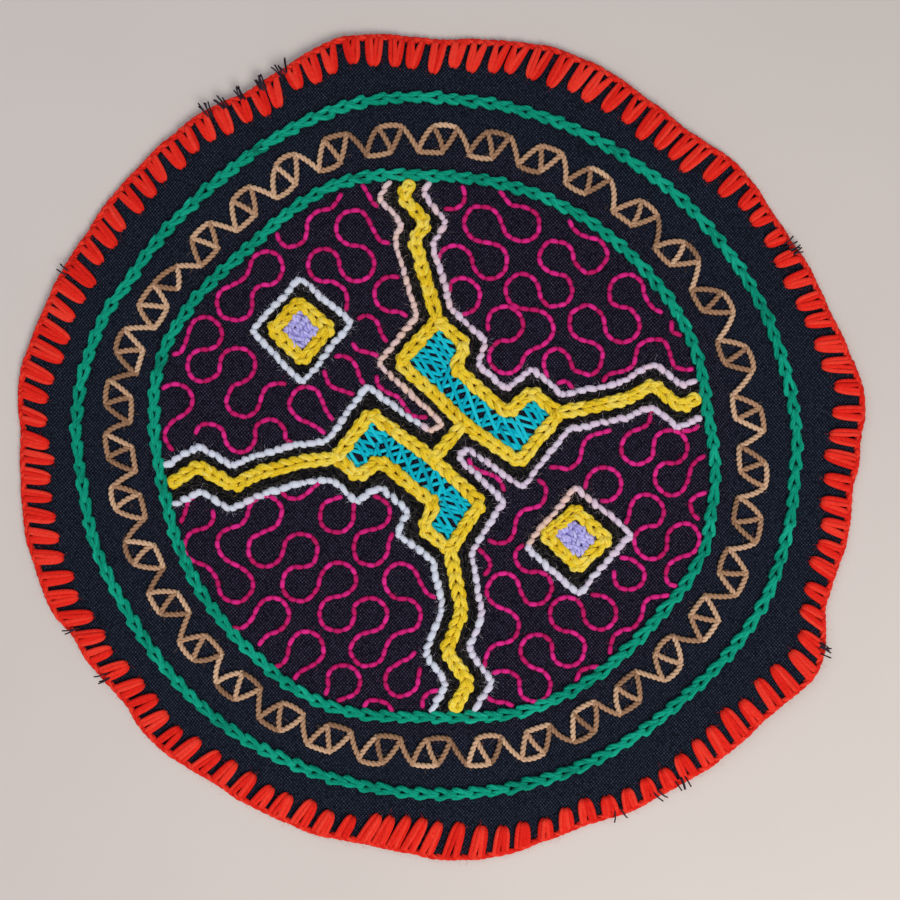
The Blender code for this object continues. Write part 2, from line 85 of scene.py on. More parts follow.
# Each yarn's colours, how much light its flanks keep, how fine its fibres are and how deep, in
# millimetres, the hollows between them.
YARNS = (
    Yarn("scarlet_yarn", srgb(172, 12, 10), srgb(238, 36, 24), srgb(255, 84, 64), 0.4, 14.0, 0.2),
    Yarn("green_yarn", srgb(0, 96, 76), srgb(0, 150, 122), srgb(26, 182, 152), 0.3),
    Yarn("tan_cord", srgb(104, 72, 52), srgb(182, 141, 110), srgb(230, 194, 162), 0.1),
    Yarn("yellow_yarn", srgb(206, 156, 12), srgb(246, 213, 44), srgb(254, 236, 124), 0.34, 14.0,
         0.2),
    Yarn("turquoise_thread", srgb(0, 134, 156), srgb(0, 184, 208), srgb(40, 214, 232), 0.4, 9.0,
         0.1),
    Yarn("lavender_yarn", srgb(136, 130, 206), srgb(182, 176, 240), srgb(208, 204, 252), 0.3),
    Yarn("magenta_thread", srgb(160, 16, 56), srgb(198, 26, 110), srgb(232, 46, 148), 0.3, 8.0,
         0.1),
    Yarn("black_wool", srgb(4, 4, 5), srgb(10, 10, 11), srgb(26, 25, 27)),
    Yarn("grey_hairs", srgb(58, 55, 54), srgb(98, 92, 88), srgb(140, 131, 124), 0.6),
    Yarn("loose_black_thread", srgb(14, 10, 16), srgb(38, 29, 40), srgb(78, 64, 78), 0.5),
)
# The pale yarn's shades are greys, and its tints colour them by the tone along each row.
PALE_YARN = Yarn("pale_yarn", (0.7, 0.7, 0.7), (0.97, 0.97, 0.97), (1, 1, 1), 0.45, 14.0, 0.2)
PALE_TINTS = (
    (0.0, srgb(220, 227, 243)),
    (0.5, srgb(228, 208, 232)),
    (1.0, srgb(238, 203, 190)),
)

# How a yarn's fibres wind round it, in turns a millimetre, the scales of their streaks and grain,
# and how far apart in the noise two strands of unlike shades take their streaks.
FIBRE_TURNS = 0.2
STREAKS_ALONG, STREAK_SCALE, GRAIN_SCALE = 0.5, 1.6, 7000.0
SHADE_APART = 57.0

# The cloth: its thickness, how far out it lies flat, about where its rim is, where its folds are
# full, and how far in from the edging's outside its own edge lies.
CLOTH_THICK = 1.2
FLAT_RADIUS = 80.0
RIM_RADIUS = 122.0
CLOTH_INSET = 1.1
# The sheet's rings of points over and under it. As shares of its size: where the innermost lie,
# which caps close, and how far its hem bulges. Then how high its underside is, in millimetres.
SHEET_RINGS, UNDERSIDE_RINGS, RIM_STEPS = 60, 10, 360
CAP_SHARE, HEM_BULGE, UNDERSIDE_GAP = 0.01, 1.002, 0.02
# The lengths of the small waves in it, how many there are of each, and how high for their length.
WAVE_LENGTHS = (34.0, 21.0, 13.0, 8.0, 5.5)
WAVES_EACH, WAVE_HEIGHT = 3, 0.0011
# Its weave: the threads' pitches, how far they wander, how deep the hollows between them are and
# how much the painted highlights where they cross over differ.
WARP_PITCH, WEFT_PITCH = 0.98, 1.12
WEAVE_WANDER, WEAVE_DEPTH = 1.6, 0.14
WANDER_SCALE, SPECK_SCALE = 60.0, 1400.0
CROSSING_SHARPNESS, SPECK_CONTRAST, SPECK_FLOOR = 5.0, 4.4, -1.6
# Up to the first of these radii it is violet black, and past the second blue black. The reach is
# the radius that the two are shares of.
TINT_RADII = (77.5, 92.5)
TINT_REACH = 125.0
GROUND_TINTS = (srgb(13, 11, 21), srgb(12, 16, 25))
# The painted highlights where the threads cross over, violet and then blue by the same radii.
CROSSING_HIGHLIGHT_TINTS = (srgb(76, 71, 97), srgb(64, 72, 95))

# The hand-cut outline, out to the edging: corners and hollows, anticlockwise from +X.
RIM = table(
    "angle radius",
    (0, 123.9), (6, 125.9), (21, 121.6), (35, 120.4), (42, 121.5), (53, 118.9), (74, 123.0),
    (90, 121.2), (103, 124.9), (118, 119.9), (128, 122.2), (148, 122.9), (161, 124.5),
    (170, 126.5), (180, 124.6), (191, 125.4), (201, 124.8), (208, 122.0), (219, 120.2),
    (225, 122.0), (236, 119.9), (252, 119.9), (259, 118.9), (275, 122.0), (291, 119.4),
    (298, 121.2), (318, 124.0), (330, 129.0), (339, 122.5), (348, 123.1), (354, 122.5),
)
# Where the rim stands off the table in a soft low fold.
RIM_LIFTS = table(
    "angle half_width height",
    (14, 20, 1.3), (60, 24, 1.6), (115, 26, 1.9), (160, 18, 1.0), (206, 24, 1.5), (262, 22, 1.2),
    (322, 24, 1.9),
)

# The edging's cord round the rim: its size, its strands, the points along them, how far each lies
# from the cord's middle to the side and upward, and its radius.
CORD_WIDTH, CORD_HIGH = 2.1, 2.3
CORD_PLIES, CORD_STEPS_A_LOOP = 3, 8
CORD_PLY_ASIDE, CORD_PLY_UP, CORD_PLY_RADIUS = 0.46, 0.5, 0.58
# How the cord wanders in and out: the waves all the way round, their height and their start.
CORD_WAVES = table("count height start", (37, 0.12, 0), (61, 0.1, 1))

# The loops worked inward from the cord: how much deeper or less deep they are by turns, how
# quickly that changes from loop to loop, and how thick their strands are and how far apart.
LOOPS = 116
LOOP_DEPTH_VARIES, LOOP_BEAT = 0.4, 2.3
LOOP_STRAND_RADIUS, LOOP_STRANDS_APART = 0.74, 1.08
# How high their strands lie, and how far these dive at the tip and at the root.
LOOP_HIGH, LOOP_TIP_DIVE, LOOP_ROOT_DIVE = 0.85, 0.75, 0.4
# How the loops differ by chance, as a mean and a spread or a spread alone: their lengths, in
# millimetres, their angles, in degrees, and their leans, as slopes.
LOOP_LENGTH_CHANCE, LOOP_ANGLE_CHANCE, LOOP_LEAN_CHANCE = (-0.3, 0.45), 0.12, 0.05
# Where the loops stand closer together than this, in degrees, they are slimmer.
LOOP_APART = 3.05
# Where the loops' tips come, counted anticlockwise: close together here and wider there.
LOOP_PLACES = table(
    "number angle",
    (0, 2.2), (5, 18.9), (12, 42.5), (17, 57.5), (23, 76.8), (29, 94.1), (33, 106.0), (40, 126.5),
    (57, 179.3), (61, 189.8), (68, 211.5), (76, 236.7), (83, 259.9), (87, 269.6), (96, 298.6),
    (105, 326.4), (116, 362.2),
)
# How the loops lie: their lean, clockwise from pointing at the middle, in degrees, and how deep
# they reach from the outline.
LOOP_FORMS = table(
    "angle lean depth",
    (0, 13, 9.8), (24, 10, 8.8), (38, 2, 7.5), (46, 2, 10.8), (58, 8, 10.1), (70, 17, 11.0),
    (95, 15, 9.8), (109, 3, 8.5), (122, 7, 9.4), (150, 16, 9.4), (165, 16, 10.6), (180, 16, 9.1),
    (198, 17, 9.7), (216, 15, 8.7), (232, 13, 9.5), (252, 16, 8.3), (269, 24, 11.2),
    (286, 15, 7.7), (305, 11, 7.3), (314, 11, 9.8), (328, 16, 10.5), (338, 10, 8.1),
)
# Along a loop, from its tip to its root: how far apart its strands lie and how thick they are.
LOOP_STEPS = np.array((0, 0.03, 0.08, 0.16, 0.28, 0.42, 0.56, 0.68, 0.78, 0.87, 0.94, 1))
LOOP_SPREAD = table(
    "along share",
    (0, 0.18), (0.03, 0.4), (0.08, 0.62), (0.16, 0.78), (0.28, 0.9), (0.42, 0.98), (0.6, 1.04),
    (0.8, 1.09), (1, 1.13),
)
LOOP_THICKNESS = table(
    "along share",
    (0, 0.72), (0.03, 0.9), (0.08, 1), (0.28, 1.06), (0.6, 1.08), (1, 0.98),
)
# A loop's strands: their places side by side, and which way each leans where they part.
LOOP_STRANDS = table("place parts", (-1.5, -0.1), (-0.5, -1.0), (0.5, 1.0), (1.5, 0.1))
# The loops' strands part most near the top of the cloth, and about a third as much elsewhere.
# They part from that share of a loop's length on.
PARTED_ANGLE, PARTED_WIDTH = 88, 50
PARTED_EVERYWHERE, PARTED_MORE = 0.35, 0.6
PARTS_FROM = 0.48
# Where black threads of the cut cloth stick out past the edging, how many and how far at most.
FRAYS = table(
    "angle spread threads reach",
    (125, 0.6, 6, 2.6), (122.3, 0.5, 5, 2.2), (119.4, 0.5, 6, 2.4), (116.3, 0.6, 7, 2.2),
    (112.8, 0.5, 6, 2.0), (155, 0.6, 2, 1.5), (206, 0.6, 2, 1.4), (214, 0.8, 3, 1.6),
    (30, 1.2, 6, 0.9), (332, 1.2, 5, 2.0), (306, 1.0, 4, 1.7), (302, 0.6, 2, 1.5),
    (296, 0.6, 2, 1.5),
)
# How far inside the outline they start, and half their width and height.
FRAY_INSET, FRAY_HALF_WIDTH, FRAY_HALF_HIGH = 3.4, 0.23, 0.2

# Each kind of stitch: half its width and height, and how it swells from its ends, dives into the
# cloth and arches over it, as shares of those. Then how high it lies, how its plies twist, how
# much painted shade darkens its ends, where it dives into the cloth, how lumpy it is and between
# which shades the stitches differ. Steps and sides are the numbers of points along and round it.
StitchForm = namedtuple(
    "StitchForm",
    "half_width half_high steps taper dive arch base plies pitch dim sides lumps shades",
    defaults=(9, 0.6, -1.0, 1.9, 0.0, 1, 4.0, 0.0, 6, 0.0, (0.2, 0.8)))
RIM_KNOT = StitchForm(0.66, 0.6, steps=8, taper=0.35, dive=-0.2, arch=1.0, plies=2,
                      base=CORD_HIGH * 0.5 - CLOTH_THICK + 0.1, shades=(0.3, 0.8))
TAN_STROKE = StitchForm(0.88, 0.75, steps=22, taper=0.85, dive=-0.2, arch=1.1, plies=2, pitch=3.0,
                        sides=5, shades=(0.1, 0.95))
BLUNT_STITCH = StitchForm(1.05, 0.9, taper=0.7, plies=3, pitch=9.0)
TURQUOISE_THREAD = StitchForm(0.62, 0.42, steps=10, taper=0.8, dive=-0.6, arch=1.5,
                              shades=(0.1, 0.9))
PALE_BEAD = StitchForm(1.06, 0.8, steps=10, taper=0.4, dive=-0.7, arch=1.7, dim=0.3, sides=9,
                       lumps=0.07, shades=(0.35, 0.9))
HEART_STITCH = StitchForm(0.95, 0.62, steps=7, plies=2, pitch=6.0, dim=0.25, sides=5,
                          shades=(0.3, 0.9))
MAGENTA_STITCH = StitchForm(0.76, 0.5, taper=0.62, dive=-0.9, arch=1.8, dim=0.7, sides=7,
                            shades=(0.2, 1.0))
WOOL_STITCH = StitchForm(0.85, 0.5, steps=6, dive=-0.7, arch=1.3, sides=5)

Fuzz = namedtuple("Fuzz", "reach fibres radius", defaults=(0.02,))
# How far loose fibres reach from each place on a yarn, how many there are and how thick.
LOOP_FUZZ = Fuzz(1.0, 1)
RIM_FUZZ = Fuzz(0.9, 2)
CHAIN_FUZZ = Fuzz(0.9, 1)
TAN_FUZZ = Fuzz(1.2, 1, 0.03)
PALE_FUZZ = Fuzz(1.2, 7, 0.024)
HEART_FUZZ = Fuzz(1.0, 3)
MAGENTA_FUZZ = Fuzz(0.9, 1)
WOOL_FUZZ = Fuzz(2.6, 4, 0.035)

Chain = namedtuple("Chain", "half_width radius waist")
# The chain stitches' half width, their yarn's radius, and how wide a loop stands near its start,
# as a share. The loops swell past the solids' rows by a little.
GREEN_WIDTH, YELLOW_WIDTH = 3.4, 3.9
GREEN_CHAIN = Chain(GREEN_WIDTH / 2 + 0.4, 0.92, 0.12)
YELLOW_CHAIN = Chain(YELLOW_WIDTH / 2 + 0.45, 1.08, 0.35)
# A loop's points, and how far each of its ends stops short of a full turn, in radians.
CHAIN_STEPS, CHAIN_OPENING = 16, 0.16
# As shares of the yarn's radius: how far a loop reaches past its joint, how high it lies, how
# much it rises over the end of the loop before it and how deep it dives at its own start.
CHAIN_OVERLAP, CHAIN_LIES, CHAIN_RISE, CHAIN_DIVE = 1.15, 0.62, 0.75, 1.1
CHAIN_PLIES, CHAIN_TWIST_PITCH = 3, 9.0

# The two green rounds, each by its radius from its own middle and its number of links.
Ring = namedtuple("Ring", "name middle links points")
OUTER_RING = Ring("outer", (-1.4, 0.4), 120, table(
    "angle radius",
    (0, 106.2), (20, 104.5), (40, 102.8), (57, 101.5), (80, 102.2), (102, 103.5), (132, 101.4),
    (150, 102.8), (160, 105.4), (173, 106.8), (190, 105.0), (213, 103.2), (230, 103.6),
    (260, 102.4), (295, 103.6), (312, 103.8), (336, 107.0),
))
INNER_RING = Ring("inner", (-2.0, 0.7), 100, table(
    "angle radius",
    (8, 81.1), (20, 82.0), (50, 80.3), (88, 79.4), (110, 82.2), (132, 80.1), (163, 84.7),
    (192, 81.1), (225, 81.6), (245, 83.2), (270, 80.4), (293, 83.1), (320, 83.1), (339, 85.4),
    (350, 83.7),
))

# The tan zigzag: a ring of slanted boxes, numbered clockwise, at that share of the way from the
# inner green round to the outer. Each stroke goes a little past its corners.
BOXES = 36
ZIGZAG_SHARE = 0.47
ZIGZAG_RADIUS = 92.0
STROKE_PAST_CORNER = 0.15
BOX_PLACES = table(
    "number angle",
    (0, 137.6), (8, 58.9), (13, 4.6), (27, -130.6), (31, -170.8), (35, -207.5),
)
BoxCorner = namedtuple("BoxCorner", "along outward")
# A box's corners, clockwise along the ring and outward from it.
INNER_BACK = BoxCorner(-7.9, -3.8)
OUTER_BACK = BoxCorner(-3.4, 3.7)
OUTER_FRONT = BoxCorner(3.4, 3.7)
INNER_FRONT = BoxCorner(-0.5, -3.8)
# Where the ring closes there is room for half a box only.
HALF_BOX_ANGLE = 147.2
HALF_BOX_FRONT = BoxCorner(2.9, 1.4)
HALF_BOX_LOW = BoxCorner(-2.5, -3.2)

# The stepped bars, clockwise. An arm or the crosslink leaves from each named corner.
UPPER_BAR = {
    "top": (-1.0, 37.5),
    "top_step": (7.0, 30.0),
    "step_in": (4.0, 23.5),
    "step_low": (19.5, 10.0),
    "step_out": (26.5, 16.5),
    "right": (34.5, 10.0),
    "foot": (23.0, -4.5),
    "link": (6.5, 7.0),
    "waist": (-2.0, 15.5),
    "shoulder": (-12.5, 25.0),
}
LOWER_BAR = {
    "link": (-2.5, -3.5),
    "hip": (11.5, -16.5),
    "bottom": (2.5, -30.0),
    "heel": (-5.5, -24.0),
    "step_in": (-2.0, -17.0),
    "step_high": (-18.0, -4.0),
    "step_out": (-24.5, -8.5),
    "left": (-31.0, -3.0),
    "shoulder": (-21.0, 10.0),
}
BARS = {"upper": UPPER_BAR, "lower": LOWER_BAR}
# How long the stitches are of the yellow rows, the diamonds' yellow rings, the pale rows, the
# black wool and the hearts, and how much of a corner they cut off.
YELLOW_PITCH, RING_PITCH, PALE_PITCH, WOOL_PITCH, HEART_PITCH = 3.4, 3.3, 2.8, 2.7, 2.6
YELLOW_CORNER_CUT, RING_CORNER_CUT, PALE_CORNER_CUT = 1.4, 0.84, 0.8
PALE_WIDTH = 1.8
# The wool lies in two rows, that far to both sides of its line. Its hairs stand this far apart.
WOOL_OFFSET, HAIRS_PITCH = 0.75, 0.8
# How far short of the inner green round the arms and the pale rows end.
ARM_STOP, PALE_STOP = 1.9, 0.2
# The arms' corners from their bar outward. The last point only gives the way to the ring.
ARMS = {
    "top_arm": (UPPER_BAR["top"], (-3.0, 43.5), (-8.0, 61.0), (-4.5, 66.0), (-11.5, 74.0),
                (-8.5, 79.0)),
    "right_arm": (UPPER_BAR["right"], (54.0, 14.0), (62.5, 18.5), (70.5, 12.0), (76.5, 15.0)),
    "left_arm": (LOWER_BAR["left"], (-42.0, -4.5), (-54.0, -7.5), (-61.5, -11.5), (-71.5, -5.5),
                 (-79.5, -10.5)),
    "bottom_arm": (LOWER_BAR["bottom"], (6.0, -48.5), (1.5, -60.0), (8.0, -69.5), (3.5, -77.5)),
}
# For each pale row the yellow rows that it follows, in by one arm and out by the next, each with
# how far it runs from that row's middle.
PALE_ROUTES = {
    "top_left": (
        (5.2, ARMS["left_arm"][::-1]),
        (5.9, corners_of(LOWER_BAR, "shoulder", "link")),
        (4.5, corners_of(UPPER_BAR, "link", "waist", "shoulder")),
        (5.5, ARMS["top_arm"]),
    ),
    "top_right": (
        (4.8, ARMS["top_arm"][::-1]),
        (5.2, corners_of(UPPER_BAR, "top_step", "step_in", "step_low", "step_out")),
        (5.2, ARMS["right_arm"]),
    ),
    "bottom_right": (
        (5.3, ARMS["right_arm"][::-1]),
        (5.4, corners_of(UPPER_BAR, "foot", "link")),
        (5.4, corners_of(LOWER_BAR, "link", "hip")),
        (5.8, ARMS["bottom_arm"]),
    ),
    "bottom_left": (
        (5.5, ARMS["bottom_arm"][::-1]),
        (6.1, corners_of(LOWER_BAR, "heel", "step_in", "step_high", "step_out")),
        (6.1, ARMS["left_arm"]),
    ),
}
# The pale yarn's tone by the share of each row's length, from 0 for bluish white over 0.5 for
# lilac to 1 for peach.
PALE_TONES = {
    "top_left": ((0, 0.0), (0.49, 0.05), (0.5, 1.0), (1, 0.8)),
    "top_right": ((0, 0.65), (0.4, 0.5), (1, 0.45)),
    "bottom_right": ((0, 0.5), (0.55, 0.4), (1, 0.15)),
    "bottom_left": ((0, 0.0), (1, 0.05)),
    "upper_diamond": ((0, 0.0), (1, 0.0)),
    "lower_diamond": ((0, 0.8), (0.25, 0.45), (0.5, 0.2), (0.75, 0.2), (0.76, 0.95), (1, 0.9)),
}
# The bars' direction, where their legs end, measured that way, and how the turquoise threads lie.
BAR_SLANT = math.radians(-42)
LEG_ENDS = {"upper": (-14.5, 9.0), "lower": (-14.5, 10.0)}
MIDDLE_SLANTS = table("angle spacing", (14, 2.3), (72, 3.7), (112, 3.5))
LEG_SLANTS = table("angle spacing", (-14, 2.0), (-58, 2.2))
# The shortest thread that is sewn, how far the legs' threads and the middle's reach past where
# the legs end, and how much higher the second layer lies.
SHORTEST_THREAD, ZONE_OVERLAP, LAYER_RISE = 1.2, 0.5, 0.25
# The hearts' layers of stitches: how high each lies, its turn and how far apart its rows are.
HEART_LAYERS = table("base turn spacing", (0.0, 0.0, 1.2), (0.35, 28.0, 1.9), (0.6, -24.0, 3.0))
# How far a thread lies off its place, and how much it leans, by chance.
HATCH_SCATTER, HATCH_TILT = 0.1, 0.03
# How far the other stitches' ends, and the roots of loose fibres, lie off their places.
TAN_SCATTER, PALE_SCATTER, HEART_SCATTER, MEANDER_SCATTER = 0.12, 0.18, 0.25, 0.2
WOOL_SCATTER, FUZZ_SCATTER = 0.12, 0.35

# Where the diamonds' yellow rings run, as a share of the way from the heart to their outside.
RING_SHARE = 0.62
Corners = namedtuple("Corners", "top right bottom left")
Diamond = namedtuple("Diamond", "name pale_row ring_outside heart")
# The two diamonds, as hand-sewn as they are: no side is quite as long as the next.
DIAMONDS = (
    Diamond(
        "upper",
        Corners((-42.0, 50.0), (-26.5, 37.0), (-41.0, 19.0), (-56.0, 34.0)),
        Corners((-42.0, 44.5), (-31.5, 35.5), (-40.5, 24.0), (-51.5, 34.5)),
        Corners((-42.5, 40.0), (-36.0, 34.5), (-41.5, 29.0), (-46.5, 34.5)),
    ),
    Diamond(
        "lower",
        Corners((39.5, -11.5), (56.0, -25.5), (40.5, -43.5), (25.0, -29.5)),
        Corners((40.0, -17.0), (50.5, -26.5), (40.5, -37.0), (29.0, -26.5)),
        Corners((38.5, -21.5), (45.5, -27.5), (40.5, -32.5), (33.5, -25.5)),
    ),
)

Thread = namedtuple("Thread", "start turn rounds end", defaults=(None, (), ()))
CLOCKWISE, ANTICLOCKWISE = -1, 1
# The magenta meander, charted. Each thread starts at a few points, winds round one round
# after another, the next always the other way about, and ends at a few points. A round is its
# middle's x and y and its radius. A short thread has points only, and one without a start closes
# on itself.
MEANDER = (
    Thread(((6, 77.5), (7, 75), (6.3, 72), (3.5, 70.5), (0.5, 70.5))),
    Thread(((17, 76), (21, 71.5)), CLOCKWISE, ((23.7, 65.8, 5.2), (11.9, 66.1, 5.3),
           (14.3, 55, 5.2), (4, 54.5, 5.2)), ((-0.3, 52),)),
    Thread(((2.5, 45.8),), CLOCKWISE, ((6.3, 44.8, 5.3),), ((5.2, 39),)),
    Thread(((13.8, 34.4),), CLOCKWISE, ((18.8, 36.5, 5.2), (18.8, 26.8, 5), (28.3, 23.8, 5.1),
           (27.8, 35.2, 5.2), (23.9, 46.2, 5), (33.7, 46.5, 5), (33.8, 56.2, 5), (43.8, 56.8, 5.1)),
           ((39, 64.5), (37.6, 67.4))),
    Thread(((65.3, 39.8), (62, 41.3)), ANTICLOCKWISE, ((54.6, 46, 5.2), (53.3, 36.3, 5.2),
           (43, 36.6, 5.3), (42.8, 26.5, 5), (33.8, 25.2, 3.9)), ((31.4, 20.2),)),
    Thread(((34, 18.8), (36.2, 19.8), (39, 17))),
    Thread(((47.6, 19.2), (49, 21.5), (54, 22.7), (57.3, 25)), CLOCKWISE, ((62.5, 27.2, 5),),
           ((69.5, 23.3), (72.5, 22.8), (74.5, 23.4))),
    Thread(((68, 37.6), (67.7, 34.7), (71, 33))),
    Thread(((-29.5, 75.2),), CLOCKWISE, ((-35.3, 75, 5), (-34.7, 65, 5), (-44.3, 64.3, 5)),
           ((-48.7, 63.8),)),
    Thread(((-23.7, 77.8), (-22, 75.5), (-20, 72), (-18.8, 71))),
    Thread(((-15.3, 60.3), (-18.3, 61)), ANTICLOCKWISE, ((-25.8, 64.8, 5.3), (-25.1, 54.3, 5.2),
           (-34.7, 53.8, 4.8), (-33, 43.8, 5.2)), ((-28.3, 40.2),)),
    Thread(((-12.5, 50.2),), ANTICLOCKWISE, ((-14.6, 45.3, 5.2),), ((-12.5, 40), (-10, 38.5))),
    Thread(((-24.9, 37.8), (-22.3, 39), (-20, 38.3), (-18.5, 35.5), (-17.6, 32.8), (-16, 31))),
    Thread(((-26.4, 31), (-25.2, 28.7), (-22, 28.3), (-18.5, 26.8))),
    Thread(((-31.6, 26.8), (-29.3, 27), (-26.5, 25.8), (-25, 23), (-24.2, 20), (-22.7, 18.6))),
    Thread(((-34.7, 22.9), (-34, 19.8), (-32, 17.7), (-29, 16.9), (-25.8, 15.5))),
    Thread(((-19.3, 21.3), (-18.6, 18.4), (-16.3, 16.2), (-13, 15), (-11.3, 12.3), (-9.5, 10),
           (-7, 8.7), (-4.2, 9))),
    Thread((), CLOCKWISE, ((-51.8, 52.9, 5), (-51.7, 43.5, 4.9), (-60.9, 42.9, 5.5),
           (-61.9, 53.5, 5))),
    Thread(((-79.5, 27.3), (-76, 29)), CLOCKWISE, ((-69.9, 33.6, 5), (-70.3, 24.3, 4.9),
           (-60.3, 24.4, 5.2), (-58.5, 13.9, 5), (-48.4, 14, 4.9)), ((-45.8, 18.7),)),
    Thread(((-82.7, 17.2),), CLOCKWISE, ((-78.5, 13.9, 4.9), (-77.3, 3.4, 4.6)), ((-79.2, -1),)),
    Thread(((-72.8, 3.8),), CLOCKWISE, ((-68.5, 3, 4.4), (-59.7, 3, 4.6), (-50.9, 3.7, 4.6)),
           ((-45.5, 1.8), (-43.6, 1.1))),
    Thread(((-31.9, 8), (-34, 10.2)), ANTICLOCKWISE, ((-40, 13, 4.9),), ((-38.5, 6.7), (-36, 5.3),
           (-34.3, 3.9))),
    Thread(((-72.5, -14), (-75, -16.5), (-75.8, -19.7), (-77.3, -22.4))),
    Thread(((-67.7, -18.4),), CLOCKWISE, ((-71.5, -19.8, 4.4), (-71.2, -29, 5), (-71, -39.8, 5),
           (-60.8, -40.6, 5.1), (-61.3, -28.5, 5.1), (-62, -18.5, 5), (-52, -19.3, 5.1),
           (-52, -30.1, 5.1), (-41.6, -30.5, 5.1), (-42, -40.3, 5.2), (-30.4, -38.9, 5.1),
           (-31, -49.2, 5.2), (-21.2, -49.5, 5.2), (-21.9, -59.8, 5), (-11.7, -59.7, 5),
           (-10.8, -49.6, 4.8), (-11.9, -39.5, 5.2)), ((-5, -42.5), (-1.5, -44.6))),
    Thread(((-47.8, -12.5), (-45.5, -14.6), (-42, -15.2), (-39.3, -13.8), (-37.6, -11.7),
           (-35.8, -10))),
    Thread(((-29.3, -14.6),), ANTICLOCKWISE, ((-31, -20.2, 5.1),), ((-25.9, -16),)),
    Thread(((-20.3, -14.3),), CLOCKWISE, ((-20.3, -19.3, 5), (-21, -29.7, 5.2)), ((-14.4, -25),)),
    Thread(((-61.9, -53.3), (-58.3, -53.2), (-56.3, -51)), CLOCKWISE, ((-49.9, -49.6, 5.1),
           (-49.4, -59.5, 4.7)), ((-54.1, -58.8),)),
    Thread(((-49.6, -64.8), (-47, -64.2), (-45.4, -61.5)), CLOCKWISE, ((-40.1, -59.6, 5.2),),
           ((-39.7, -65), (-42.5, -66.8), (-43.7, -68.8))),
    Thread(((-34.3, -73.3), (-33.5, -70)), CLOCKWISE, ((-29.1, -69.3, 5),), ((-31, -74.8),)),
    Thread(((-7.7, -60.3), (-9.8, -62.5)), ANTICLOCKWISE, ((-11.8, -68.8, 4.9),), ((-6.3, -64.8),)),
    Thread(((-23.1, -76.8), (-21.5, -74.8), (-18.5, -74.6), (-16, -75.9), (-14.2, -78.3))),
    Thread(((-0.7, -71.7), (-3.5, -72.2), (-5.7, -74.4), (-5.5, -77.2))),
    Thread(((8, -3.2), (8.5, -4.8), (10.6, -6.8), (14, -7.8), (17.2, -9.8), (18.6, -13.2))),
    Thread(((28.3, -9.5),), CLOCKWISE, ((26, -13.2, 4.9), (26.6, -22.8, 4.8), (17, -23.4, 4.9)),
           ((13.5, -27.2),)),
    Thread(((10.7, -30), (13.2, -32), (14.3, -35), (12.5, -38))),
    Thread(((31.8, -5.8),), ANTICLOCKWISE, ((36.4, -1.5, 4.8), (46.1, -0.7, 4.8)), ((50.3, 5.2),)),
    Thread(((42.3, -12.4),), CLOCKWISE, ((47.9, -10.8, 5.1),), ((46.7, -15.8),)),
    Thread(((62, 12.5), (62, 9.8)), CLOCKWISE, ((57.4, 9.6, 4.6), (57.8, -0.2, 4.9),
           (67.4, -0.1, 5.2), (67.9, -9.1, 5)), ((75.2, -4), (78.1, -2.3))),
    Thread(((70.8, 5), (74.5, 5), (76.2, 6.8))),
    Thread(((78.4, -13.3), (75.8, -14), (73.5, -16), (73.2, -18.5), (76.2, -21.4))),
    Thread(((54.3, -22.8),), CLOCKWISE, ((60.5, -18.7, 5.1), (61.9, -27.9, 5), (71.4, -27.3, 5),
           (70.9, -37.5, 4.8)), ((69.8, -41),)),
    Thread(((51, -36.3),), ANTICLOCKWISE, ((55.3, -37.8, 4.6),), ((52.5, -32.4),)),
    Thread(((24.4, -28.7),), ANTICLOCKWISE, ((26.7, -32, 4.9), (27.8, -41.6, 4.9), (18.3, -42.2, 5),
           (17.8, -52.8, 5), (18.2, -62.3, 4.9)), ((12.6, -65.2),)),
    Thread(((67.5, -43.7),), ANTICLOCKWISE, ((64.2, -48.4, 4.9), (54.4, -48.9, 4.7),
           (54.9, -59, 5)), ((49.7, -61.2),)),
    Thread(((44, -43.4),), CLOCKWISE, ((46.8, -48.9, 5), (37, -49.3, 5), (37.3, -59.5, 5.1),
           (28.2, -60.2, 4.9), (27.6, -70.3, 4.8), (18.5, -70.6, 4.8)), ((14.8, -66.8),)),
    Thread(((46.7, -64.8), (43.8, -64.5), (41.3, -66.2), (39.5, -69.3))),
    Thread(((13.2, -73.5), (15.5, -75), (18.9, -75.4), (21.3, -76.5))),
)
# How long the meander's stitches are and how far they bow at most.
MEANDER_PITCH, MEANDER_BOW = 2.8, 0.1
# How far from where two rounds touch a thread leaves the one for the other, in degrees.
BRIDGE_ANGLE = 32.0
# How far apart a round's points lie, in degrees.
ROUND_STEP = 24.0


def chance(name):
    """A source of random numbers that is the same on each run."""
    return np.random.default_rng(sum(name.encode()))


def eased(share):
    """A share from 0 to 1 with a soft start and a soft end."""
    share = np.clip(share, 0, 1)
    return share * share * (3 - 2 * share)


def bell(distances, width):
    """A bell curve: 1 at no distance, and close to 0 at twice that width."""
    return np.exp(-((distances / width) ** 2))


def scattered(points, by, draw):
    """The points, each a little off its place by chance."""
    return points + draw.normal(0, by, points.shape)


def angles_past(angles, angle):
    """How far angles lie past another one, from -180 to 180 degrees."""
    return np.mod(angles - angle + 180, 360) - 180


def around(rows, column, angles):
    """A column of a table of angles, eased from row to row all the way round."""
    starts = np.array([row.angle for row in rows], float)
    values = np.array([getattr(row, column) for row in rows], float)
    turned = np.mod(np.asarray(angles, float) - starts[0], 360) + starts[0]
    here = np.searchsorted(starts, turned, side="right") - 1
    there = (here + 1) % len(rows)
    span = np.mod(starts[there] - starts[here], 360)
    past = turned - starts[here]
    return values[here] + (values[there] - values[here]) * eased(past / span)


def polar(middle, angles, radii):
    """Points at angles, in degrees, and radii from a middle."""
    turns = np.radians(angles)
    return np.stack((middle[0] + radii * np.cos(turns), middle[1] + radii * np.sin(turns)), -1)


